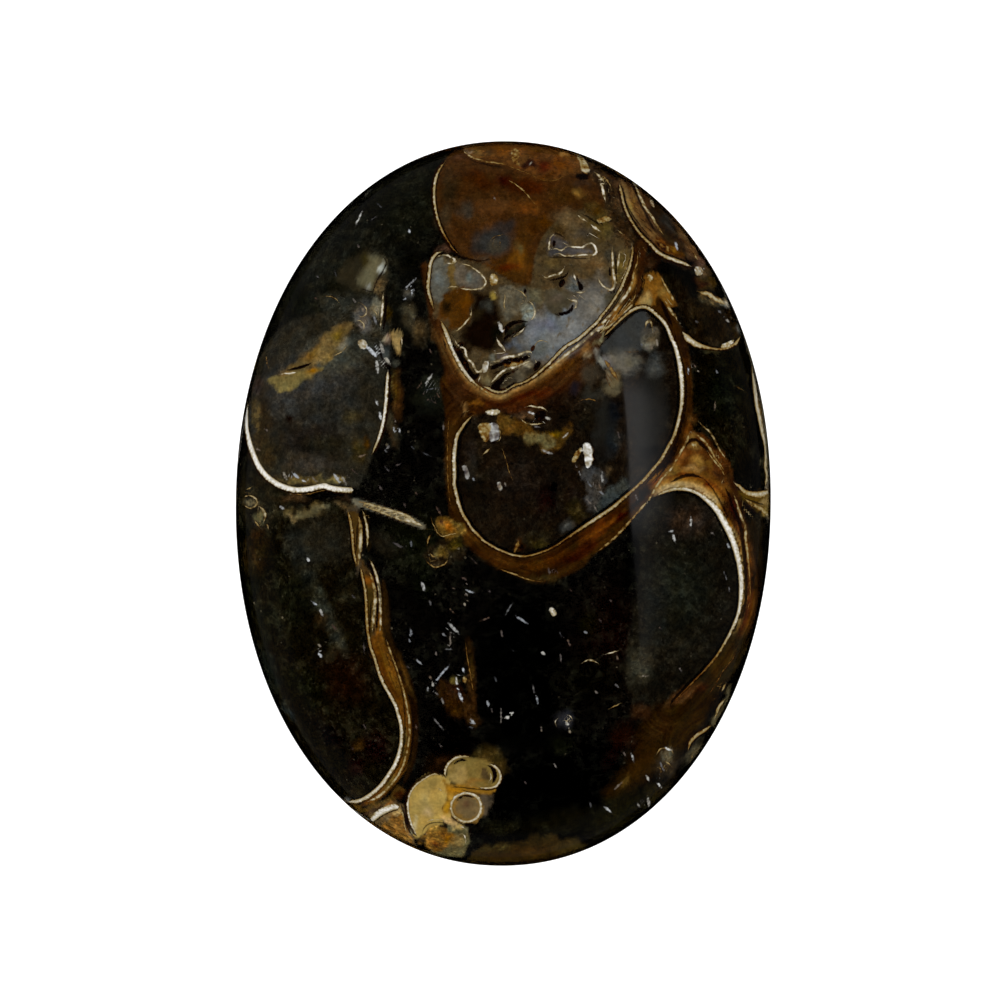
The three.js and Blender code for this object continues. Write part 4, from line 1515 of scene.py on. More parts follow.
# %% Threads
THREADS = [
    ([(505, 178), (512, 182), (519, 187), (525, 192), (530, 198), (535, 204), (539, 209)], 0.075, 0.62),
    ([(512, 149), (513, 157), (517, 163), (521, 167)], 0.12, 0.72),
    ([(489, 243), (493, 237.5), (499, 235.5), (506, 233.5)], 0.05, 0.56),
    ([(494, 238), (493, 244), (491, 249)], 0.05, 0.54),
    ([(499, 236), (500, 243), (499, 250)], 0.04, 0.5),
    ([(433, 260), (438, 256.5), (445, 255), (451, 257), (456, 261), (452, 263.5), (442, 262.5)], 0.09, 0.84),
    ([(457, 264), (463, 264), (469, 265.5), (476, 270), (482, 275), (486, 282), (482, 288), (474, 289.5),
      (465, 289), (456, 287)], 0.09, 0.8),
    ([(471, 306), (471, 315), (465, 323), (458, 330), (452, 332)], 0.09, 0.78),
    ([(547.5, 256), (548.6, 248), (550, 239), (553.5, 234.5), (557, 237.5)], 0.09, 0.82),
    ([(549, 250), (556, 248.5), (561, 250.5), (567, 246.5), (575, 247), (583, 247), (588, 243.5),
      (593, 244), (596, 249), (595, 254.5), (586, 254.5), (576, 255.5), (566, 256), (559, 253.5),
      (552, 255)], 0.1, 0.86),
    ([(562, 238), (567, 241), (570, 245)], 0.06, 0.74),
    ([(566, 297), (571, 300.5), (576, 301), (575.5, 307), (570, 310.5)], 0.11, 0.82),
    ([(541, 274), (546, 277.5), (552, 275.6), (558.6, 274), (563, 270), (566, 265)], 0.11, 0.84),
    ([(573, 271), (574.5, 277), (576.5, 283)], 0.12, 0.86),
    ([(573, 289), (577.8, 292.5), (584.4, 291.5), (588.5, 288)], 0.08, 0.78),
    ([(619.7, 249), (618.5, 262), (616.5, 273)], 0.12, 0.8),
    ([(632, 242), (631.5, 254), (629, 266), (624, 275.6), (619.5, 282)], 0.12, 0.84),
    ([(615, 276), (619, 273.5), (623, 273)], 0.07, 0.74),
    ([(619, 293), (611, 302), (605, 310)], 0.08, 0.72),
    ([(609.6, 184), (611, 188), (612.4, 192)], 0.09, 0.7),
    ([(611.5, 197), (614, 197.5), (616, 199)], 0.1, 0.72),
    ([(607, 240), (610, 241), (613, 243)], 0.08, 0.7),
    ([(597, 275), (600.5, 283), (606, 288), (612, 289.5), (615.3, 283.5), (613.6, 275), (612.6, 262),
      (612, 243)], 0.12, 0.86),
    ([(575.5, 213.5), (582, 218.5), (588.4, 222.5)], 0.13, 0.82),
    ([(589, 223), (595, 227.8), (602, 232.5)], 0.14, 0.84),
    ([(598, 180), (602, 187), (604, 195), (606, 203)], 0.14, 0.86),
    ([(592, 170), (600, 177), (607, 186)], 0.08, 0.74),
    ([(600, 172), (608, 182), (613, 191)], 0.07, 0.6),
    ([(615, 229), (620, 232), (625, 236)], 0.08, 0.66),
    ([(453, 337), (457, 344), (462, 347.5), (465.3, 349.5), (466, 356), (468.5, 360), (472, 362.5),
      (474.5, 368), (478, 372), (482, 370), (486, 364), (488, 360)], 0.12, 0.86),
    ([(481, 373), (479.5, 378), (478, 383)], 0.13, 0.86),
    ([(445, 291), (448, 287.5), (454, 286.5), (462, 288)], 0.08, 0.76),
    ([(496, 336), (499, 343), (503, 348), (507, 354)], 0.13, 0.88),
    ([(526, 299), (532, 304), (535, 311), (533, 318), (528, 322)], 0.09, 0.8),
    ([(518, 306), (523, 303), (526, 306)], 0.08, 0.76),
    ([(527, 325.5), (519, 333), (510, 339)], 0.1, 0.82),
    ([(487, 360.5), (495, 361.5), (502, 358.5), (508, 356.5), (515, 356), (522, 353.5), (530, 351.5),
      (533, 356)], 0.13, 0.86),
    ([(488, 386), (491, 383), (495.5, 378), (501, 372.5), (507, 369), (515, 367), (521, 364.5),
      (528, 361.5), (534, 361)],
     0.12, 0.86),
    ([(487, 389), (493, 391.5), (501, 393), (507, 390.5), (512, 386.5), (519, 384.5)], 0.12, 0.84),
    ([(533, 357), (536.5, 362), (535, 370)], 0.08, 0.74),
    ([(484.5, 360), (487, 367), (484, 375)], 0.09, 0.8),
    ([(536, 352), (535, 345), (540, 340.5), (547, 342), (550, 347)], 0.05, 0.68),
    ([(503, 289), (505, 297), (504, 306), (508, 314)], 0.06, 0.7),
    ([(513, 289), (520, 291), (526, 297), (525, 304)], 0.06, 0.68),
    ([(489, 293), (495, 292), (499, 297)], 0.07, 0.8),
    ([(637, 285), (634, 298), (628, 305), (620, 315)], 0.06, 0.6),
    ([(603, 358), (611, 369), (619, 382)], 0.2, 0.54),
    ([(603.5, 372), (610, 386), (615.5, 395)], 0.05, 0.36),
    ([(575, 402), (589, 399), (602, 403)], 0.06, 0.48),
    ([(645, 333), (646, 324), (649.5, 320), (652, 326), (653, 334)], 0.1, 0.72),
    ([(462.5, 408.8), (466, 412), (470, 409)], 0.07, 0.6),
    ([(481, 456), (487, 451), (492, 446)], 0.12, 0.62),
    ([(501, 446), (505.6, 458.8), (508.8, 471), (513.8, 482.5)], 0.05, 0.55),
    ([(479, 425), (484, 423), (491, 424), (497, 424), (500, 432), (500, 440), (494, 442)], 0.05, 0.68),
    ([(622, 352), (632, 352), (641, 351)], 0.04, 0.5),
    ([(430, 515), (434, 526), (441, 536), (452, 534), (462, 534), (465, 542)], 0.06, 0.62),
    ([(427, 548), (428, 540), (433, 531)], 0.09, 0.56),
    ([(424, 556), (428, 563), (436, 567), (446, 563), (448, 556)], 0.08, 0.6),
    ([(427, 551), (433, 556), (440, 558)], 0.08, 0.6),
    ([(456, 521), (460, 524), (463, 529)], 0.06, 0.62),
    ([(243, 502), (245, 497), (250, 495.5), (256, 499), (257, 504), (251, 508), (245, 506), (243, 502)],
     0.09, 0.7),
    ([(243, 491), (248, 489), (254, 486)], 0.09, 0.66),
    ([(257, 505), (263, 510), (265, 517), (263, 524)], 0.14, 0.76),
    ([(253, 518), (257, 524), (262, 530)], 0.09, 0.62),
    ([(262, 526), (267, 525), (269, 532)], 0.09, 0.62),
    ([(361.5, 508), (364.5, 517), (367, 528), (367.6, 540), (366.8, 549)], 0.12, 0.74),
    ([(368, 557), (372.5, 565), (376.5, 576), (379.3, 590), (380.3, 604), (380.5, 620), (379.8, 634)], 0.14,
     0.82),
    ([(400, 804), (403, 815), (404.5, 825), (408, 837)], 0.07, 0.64),
    ([(393, 818), (399, 815), (402, 816)], 0.08, 0.66),
    ([(465, 640), (467, 655), (470, 672), (473, 690), (475, 706)], 0.06, 0.48),
    ([(580, 664), (588, 660), (594, 661), (600, 665)], 0.09, 0.78),
    ([(603, 655), (612, 652.5), (621, 650)], 0.07, 0.78),
    ([(607, 710), (615, 706), (623, 702)], 0.08, 0.62),
    ([(557, 728), (555, 722), (559, 717)], 0.08, 0.8),
    ([(565, 714), (571, 717), (573, 723)], 0.07, 0.78),
    ([(561, 722), (565, 720), (568, 724), (565, 728)], 0.05, 0.72),
    ([(265.4, 352), (267, 362), (269, 370)], 0.07, 0.55),
    ([(383.6, 290), (382.8, 300), (382, 312), (381, 322), (380, 330)], 0.11, 0.84),
    ([(356, 302), (361, 303), (366, 308), (366, 314), (361, 317), (356, 313)], 0.07, 0.74),
    ([(353, 322), (358, 320), (363, 323), (364, 329), (360, 332)], 0.07, 0.74),
    ([(320, 297), (328, 296), (336, 299), (341, 305)], 0.05, 0.6),
    ([(368, 312), (373, 310), (377, 315), (377, 322)], 0.06, 0.7),
    ([(523, 408), (529, 406), (536, 407), (543, 408), (549, 413)], 0.09, 0.8),
    ([(519, 416), (523, 421), (530, 424), (538, 424), (546, 422)], 0.08, 0.74),
    ([(399, 333), (402, 341), (401, 349)], 0.07, 0.8),
    ([(277, 374.6), (283, 373.8), (291, 373), (300, 371.2)], 0.1, 0.88),
    ([(330, 357), (341, 352), (349, 343)], 0.07, 0.66),
    ([(733, 385), (739, 388), (745, 391)], 0.09, 0.62),
    ([(656, 757), (659, 750), (666, 748), (672, 751), (675, 758)], 0.09, 0.66),
    ([(662, 760), (668, 763), (673, 768)], 0.08, 0.62),
    ([(656, 766), (661, 770), (660, 777)], 0.09, 0.62),
    ([(692.6, 752), (692, 757), (690, 761.5)], 0.1, 0.62),
    ([(697, 420), (705, 428), (710, 432), (715, 441), (720.5, 451), (727, 460.5)], 0.1, 0.7),
    ([(706, 449), (710, 455), (716, 463), (721.7, 470), (726, 479)], 0.09, 0.62),
    ([(724, 477), (722.5, 481), (721, 485)], 0.13, 0.74),
    ([(725, 484), (727.5, 487)], 0.14, 0.7),
    ([(642, 246), (645, 250), (649, 255)], 0.09, 0.64),
    ([(693, 250), (696, 257), (699, 263)], 0.09, 0.66),
    ([(732.5, 348.5), (737, 343), (740, 336)], 0.1, 0.7),
    ([(643, 271), (641, 277), (645, 282)], 0.05, 0.55),
    ([(436, 787), (441, 790.5), (444, 794)], 0.07, 0.88),
    ([(463, 847), (466, 841), (463, 834), (456, 836)], 0.07, 0.82),
    ([(456, 828), (462, 827), (468, 831)], 0.07, 0.8),
    ([(487, 768), (490.5, 773), (491, 779), (487, 784)], 0.07, 0.8),
    ([(425, 823), (431, 820), (440, 819.5), (447, 821)], 0.06, 0.85),
]
for places, width, tone in THREADS:
    draw(threads, places, (0.5 * width, width, 0.6 * width), (0.85 * tone, tone, 0.85 * tone))
print(len(THREADS), "threads")

# %% [markdown]
# Seams are dark hairlines, the cracks and borders that iron stained. Each row gives the places, the
# widest width and how dark the seam is.

# %% Seams
SEAMS = [
    ([(464, 156), (474, 161), (484, 164), (497, 166.5), (506, 168)], 0.06, 0.8),
    ([(452, 247), (458, 256), (470, 259), (480, 261), (495, 258)], 0.07, 0.85),
    ([(566, 351), (580, 340.5), (590, 332), (600, 322.5), (606, 317), (614, 306.5), (620, 297), (627, 285),
      (632, 268), (635, 250)], 0.06, 0.8),
    ([(508, 339.5), (514, 336), (519, 331.5), (525, 326.5), (529, 323)], 0.12, 1.0),
    ([(499, 363), (505, 360.5), (513, 359.5), (521, 358.5), (528, 356.5)], 0.15, 1.0),
    ([(489, 376), (495, 373), (503, 370.5), (512, 368.5), (520, 366.5)], 0.08, 0.9),
    ([(545, 279.5), (553, 279.5), (561, 278), (567, 274), (569, 268)], 0.1, 0.95),
    ([(577, 272), (577.5, 279), (581, 286), (587, 286.5)], 0.1, 0.95),
    ([(579, 212), (587, 216.5), (595, 221.5), (603, 228)], 0.08, 0.85),
    ([(546, 257), (551, 257.5), (560, 257), (570, 257.5), (582, 258.5), (592, 258)], 0.07, 0.8),
    ([(551, 240), (555, 233.5), (561, 235.5), (567, 240)], 0.07, 0.85),
    ([(605, 181), (608, 190), (610, 199), (610, 206)], 0.12, 0.9),
    ([(596, 226), (602, 221.5), (610, 221)], 0.1, 0.9),
    ([(603, 344), (611, 334), (619, 326), (626, 319.5), (634, 313.5), (640, 311.3)], 0.08, 1.0),
    ([(661, 338), (662, 346), (660, 352)], 0.07, 0.9),
    ([(361, 513), (363.5, 524), (364.2, 536), (363.8, 548), (363, 556)], 0.11, 1.0),
    ([(365, 557), (370, 567), (374.5, 579), (377, 592), (377.6, 606), (376.5, 622), (376.5, 634)], 0.11, 1.0),
    ([(356.5, 518), (357, 530), (356.6, 545), (355.8, 556)], 0.07, 0.85),
    ([(371.3, 596), (370.5, 610), (369.8, 626), (371, 637)], 0.07, 0.9),
    ([(358, 499.5), (372, 502), (388, 506.8), (402, 511.5), (412, 515.5)], 0.07, 0.9),
    ([(372, 512), (388, 517.5), (402, 523), (412, 526.5), (422, 529.5)], 0.07, 0.8),
    ([(684, 449), (687, 443.5), (690.5, 440), (695, 440), (700.7, 443.7), (705.5, 448), (710, 455)], 0.17,
     0.92),
    ([(684, 405), (682, 420), (678.5, 435), (672.5, 450), (664, 462.5), (653, 475.5), (643, 486)], 0.13, 0.9),
    ([(681, 440), (675.5, 451), (668.5, 462), (660.5, 474), (652, 486)], 0.09, 0.85),
    ([(724, 486), (729, 495), (732, 505), (736.5, 515), (740.5, 527), (742.7, 541), (745, 563), (746.2, 587),
      (745, 606), (741, 622)], 0.17, 0.92),
    ([(669, 483.5), (675, 480), (681, 477), (690, 475), (698, 476.4), (704, 479)], 0.15, 0.92),
    ([(700, 477), (705, 480), (710, 485.5), (715, 492.5), (720, 501), (725, 511), (730, 522)], 0.09, 0.8),
    ([(674, 328), (676, 340), (680, 355), (684, 370), (686, 385), (686, 400), (684.5, 415), (680, 430)],
     0.1, 0.85),
    ([(365, 563), (374, 573), (377, 590), (377.4, 612), (377, 634)], 0.08, 1.0),
    ([(357, 508), (359, 514), (356.5, 540), (355.5, 556)], 0.05, 0.85),
    ([(363, 514), (365, 530), (364.3, 550)], 0.07, 1.0),
    ([(356, 495), (372, 500.5), (390, 506.5), (408, 512), (425, 520)], 0.06, 0.9),
    ([(358, 504), (375, 510), (392, 515.5), (410, 521.5)], 0.05, 0.8),
    ([(630, 181), (633, 186), (637.5, 196.4), (643.5, 209), (650, 222), (656.5, 234.5)], 0.1, 0.9),
    ([(622, 184), (626, 202), (634, 217), (645, 231), (652, 240)], 0.06, 0.85),
    ([(658.5, 299), (661.5, 302), (664.5, 309), (668, 317), (673, 328)], 0.19, 0.92),
    ([(634, 290), (629, 300), (622, 308), (614, 320)], 0.08, 0.85),
    ([(644, 270), (641.5, 276), (645, 281), (643, 287), (645, 291)], 0.06, 0.85),
    ([(284, 371), (291, 369.4), (298, 367.8), (304.6, 365.8), (309, 364), (314, 361.5)], 0.13, 1.0),
    ([(268, 353.6), (276, 351), (281, 351)], 0.06, 0.8),
    ([(378, 254), (384, 258), (386.5, 263), (383.5, 270), (379, 277), (375, 285), (372.5, 291.5),
      (364, 289.5), (357, 287)],
     0.06, 0.85),
    ([(386.8, 291), (386, 302), (385, 314), (384, 326), (382, 334)], 0.12, 0.95),
    ([(405, 333), (405.5, 340), (403.5, 347)], 0.08, 0.9),
    ([(382, 341), (380, 350), (382, 358), (385, 364), (391, 367), (393.5, 363)], 0.09, 0.95),
    ([(456, 763), (460, 760.5), (464, 760), (468, 760.5)], 0.11, 1.0),
    ([(485.5, 765), (491, 767), (494.5, 772), (494.5, 779), (491, 785)], 0.19, 1.0),
    ([(422, 836), (424, 828), (430, 823.5), (438, 822.3), (445, 823.5), (450, 827)], 0.06, 0.8),
    ([(448, 787.5), (458, 787), (470, 788.5), (482, 789.5), (495, 790.5)], 0.06, 0.8),
    ([(450, 811), (453, 818), (460, 823), (468, 825.5), (476, 823.5)], 0.06, 0.85),
    ([(455, 804), (459, 797.5), (465, 795.5), (472, 796), (477, 799)], 0.07, 0.85),
    ([(441, 806), (444, 803.5), (442, 809), (444, 813)], 0.05, 0.7),
    ([(470, 825), (471, 833), (471, 840)], 0.07, 0.9),
    ([(468, 409.5), (463, 414), (459, 420)], 0.08, 0.95),
    ([(463, 416), (470, 414), (477, 412.5)], 0.09, 0.95),
    ([(486, 415.5), (493, 416.5), (499, 416)], 0.07, 0.95),
    ([(488, 444), (494, 443), (502, 438.5)], 0.08, 1.0),
    ([(554, 315.5), (562, 314.5), (569, 310.5), (569.5, 303)], 0.07, 0.95),
    ([(614.5, 250), (615.5, 262), (616, 276), (616, 286), (611, 293.5)], 0.08, 0.9),
    ([(388, 648), (394, 664), (400, 684), (403.5, 702), (405, 722), (404.5, 740), (401.5, 757), (394, 773),
      (383, 787)],
     0.06, 0.8),
    ([(386, 664), (392, 680), (398, 694)], 0.04, 0.7),
    ([(383, 646), (388, 660), (392, 672)], 0.04, 0.7),
    ([(411.5, 705), (413, 722), (412, 745), (408, 762), (399, 777)], 0.08, 0.8),
    ([(400, 800), (403.5, 812), (408, 828), (414, 838)], 0.1, 0.95),
    ([(442, 335), (445, 345), (447, 352)], 0.1, 0.8),
    ([(742, 495.5), (749, 500), (757, 502.8), (768, 506)], 0.08, 0.8),
    ([(739, 498), (745, 505), (752, 511), (760, 516)], 0.14, 0.8),
    ([(643.5, 273), (642, 279), (643, 286)], 0.12, 0.85),
    ([(657, 253), (666, 259.5), (680, 264.5), (693, 270)], 0.12, 1.0),
    ([(634.5, 240), (633.5, 252), (631.5, 264), (629, 272)], 0.09, 0.95),
    ([(461, 470), (459.5, 460), (460, 448), (462, 436), (466, 427)], 0.1, 0.8),
    ([(459, 490), (462, 501), (466, 511)], 0.08, 0.8),
    ([(450, 333), (453, 335.5), (456, 338)], 0.1, 0.9),
    ([(508.5, 556.5), (520, 559.5), (532, 559)], 0.05, 0.7),
    ([(515, 566), (526, 570), (538, 572)], 0.07, 0.6),
]
for places, width, depth in SEAMS:
    draw(seams, places, (0.5 * width, width, 0.6 * width), (depth,))
print(len(SEAMS), "seams")

# %% [markdown]
# ## Chips and flecks
# Broken shell is scattered in the mud. A chip is a pale patch with a crisp closed outline, kept as the depth
# inside it. A fleck is so small that the mesh would miss its shape, so each point keeps its place in the
# frame of the nearest fleck instead: how far along and across from the middle, as shares of the fleck's own
# half length and half width. Such a place changes evenly over a face, so the shader finds the oval exactly.
# Halfway between two flecks the place jumps, so the points there are marked as near none.

# %% Chips
chips = np.tile(np.array([-FAR, 0.0, 0.0]), (len(points), 1))


def chip(places, tone, cool=0.0):
    """A crisp patch inside a closed curve. Where chips meet, the deeper one is kept."""
    near, depth = depth_inside(places, 0.4, plane)
    better = depth > chips[near, 0]
    kept = np.stack([depth, np.full(depth.size, tone), np.full(depth.size, cool)], -1)
    chips[near[better]] = kept[better]


CHIPS = [
    ([(577, 157), (583, 158), (588, 165), (589, 172), (582, 171), (580, 163)], 0.7, 0.0),
    ([(512, 150), (518, 149), (519, 156), (517, 160), (520, 165), (516, 165), (512, 159)], 0.56, 0.0),
    ([(490, 275), (494, 273.5), (498, 277), (497, 284), (491, 285)], 0.7, 0.0),
    ([(449.5, 336), (452.5, 341), (455.5, 346.5), (461.5, 350.5), (464.3, 358), (468.2, 362.5), (470, 368),
      (475, 374), (480, 372.5), (477, 379), (473, 379.5), (468, 374), (463, 367), (458, 358), (453, 348)],
      0.0, 0.0),
    ([(490, 388), (494, 382.5), (499, 378.5), (504, 374), (511, 371), (519, 368), (513, 373), (506, 376.5),
      (503, 382), (500, 387.5), (504, 388.6), (509, 384.5), (518, 380.5), (512, 386), (505, 390.2),
      (497, 391)], 0.0, 0.0),
    ([(490, 366.5), (497, 363.5), (506, 360.5), (515, 359), (522, 357.5), (527.5, 355), (528.5, 358.5),
      (521, 362), (512, 363), (506, 364.5), (500, 366.5), (494, 369.5), (490, 368.8)], 0.0, 0.0),
    ([(505, 363.5), (512, 362), (520, 360.5), (525, 359.5), (521, 364), (512, 366), (505, 367.5)], 0.5, 0.0),
    ([(498, 321), (501, 324), (503.5, 327.5), (505, 331), (503, 332.5), (500, 330), (498.5, 326)], 0.86, 0.5),
    ([(504, 327.5), (510, 322), (518, 320), (527, 321), (527.5, 323), (518, 323.5), (511, 327), (507, 332),
      (505, 336)], 0.0, 0.0),
    ([(523, 326), (516, 332), (508, 338), (504, 341), (505, 336), (512, 333)], 0.0, 0.0),
    ([(523.5, 288.5), (526, 289), (526.5, 293), (524, 293.5)], 0.05, 0.0),
    ([(531, 347), (534, 345), (535, 350), (531, 351)], 0.05, 0.0),
    ([(534, 365), (539, 361), (541, 364), (537, 370), (534, 371)], 0.02, 0.0),
    ([(483, 363), (487.5, 361), (489, 364), (487, 371), (483, 372)], 0.84, 0.3),
    ([(597, 219), (602, 217.5), (606, 216), (611, 217.5), (611, 220), (606, 221.5), (601, 222.5),
      (598, 222)], 0.66, 0.0),
    ([(560, 280), (563.5, 279), (565.5, 282), (564, 285), (560.5, 287.5), (558.5, 285)], 0.03, 0.0),
    ([(578, 281.5), (581, 283), (583.5, 287), (582, 290.5), (578.5, 289)], 0.03, 0.0),
    ([(552.5, 241), (555.5, 241), (555, 246), (553, 247.5)], 0.05, 0.0),
    ([(609, 267), (611, 270), (611, 276), (609, 275)], 0.05, 0.0),
    ([(610, 290.5), (614, 291), (616, 287), (614.5, 293.5), (610, 293)], 0.03, 0.0),
    ([(566, 311), (570, 309), (572, 304), (573.5, 305), (572.5, 311), (567, 314.5), (560, 315.5),
      (554, 314)], 0.0, 0.0),
    ([(575, 178), (580, 174), (587, 174.5), (590, 178), (584, 179.5)], 0.0, 0.0),
    ([(455.5, 801.5), (459, 797.5), (465, 795), (472, 796), (478.5, 801), (472, 797.8), (465, 797),
      (459, 800)], 0.0, 0.0),
    ([(453.5, 763.5), (456, 760.8), (460, 758.8), (464, 759), (467.5, 760.4), (463, 761.2), (459, 761.7),
      (455.5, 764)], 0.0, 0.0),
    ([(457, 344), (461, 341.5), (464, 344), (462, 347)], 0.0, 0.0),
    ([(478, 425), (484, 423), (490, 424), (491, 432), (488, 440), (485, 442), (481, 436)], 0.58, 0.0),
    ([(490, 424), (497, 424), (499, 431), (499, 438), (494, 441), (490, 440)], 0.68, 0.7),
    ([(486, 411), (492, 409.5), (499, 410), (499, 413), (495, 415), (487, 414)], 0.86, 0.0),
    ([(583, 445), (588, 443), (591, 446), (593, 455), (592.5, 462), (589, 467), (586, 467), (584.5, 458)],
     0.88, 0.3),
    ([(572, 461), (575, 453), (580, 448), (581.5, 450), (578.5, 457), (575, 462)], 0.66, 0.0),
    ([(592, 446), (594, 449), (595.5, 459), (594.5, 466), (593.5, 456)], 0.0, 0.0),
    ([(462, 466), (466, 466), (469, 474), (469, 478), (466, 479), (464.5, 473)], 0.6, 0.7),
    ([(497, 483), (500, 482), (501.5, 489), (500, 491), (498.5, 489)], 0.7, 0.5),
    ([(549, 608.5), (552.5, 607.5), (556, 612), (557, 615), (553, 616), (550.5, 613)], 0.88, 0.1),
    ([(655, 240), (662, 242.5), (670, 249), (667, 251.5), (660, 248)], 0.45, 0.0),
    ([(358, 341), (364, 339.5), (367, 344), (365, 349), (359.5, 347)], 0.8, 0.2),
    ([(498, 484), (500, 483), (502, 487), (501, 490), (499, 489)], 0.85, 0.4),
    ([(519, 547), (522, 544), (524, 549), (521, 551)], 0.1, 0.0),
    ([(514, 553), (515, 546), (518, 541), (519, 545), (516, 550)], 0.58, 0.0),
    ([(465, 676), (467, 680), (464, 683), (462, 679)], 0.6, 0.0),
    ([(541, 410.5), (545, 412), (546, 416), (542, 420), (537, 421), (534, 417), (536, 412)], 0.05, 0.0),
    ([(598, 325), (603, 322.5), (604, 327), (600, 330.5), (596, 331)], 0.72, 0.0),
    ([(692, 442), (696, 441), (699, 445), (695, 448), (692, 447)], 0.6, 0.0),
    ([(721.5, 345), (727, 342.5), (733, 340), (734, 342), (728, 346.5), (722, 348)], 0.84, 0.0),
    ([(648, 275), (652, 276), (653, 280), (650, 281), (647, 278)], 0.74, 0.0),
    ([(695, 267.5), (700, 267), (703, 271), (700.5, 275), (696, 274.5)], 0.74, 0.2),
    ([(650, 200), (653, 201), (654.5, 207), (652, 206)], 0.7, 0.2),
]
for row in CHIPS:
    chip(*row)

# %% [markdown]
# Each row gives a fleck by its two ends and its width. The rows are grouped by how bright the flecks are,
# and a seeded generator varies each one's brightness and how grey it is.

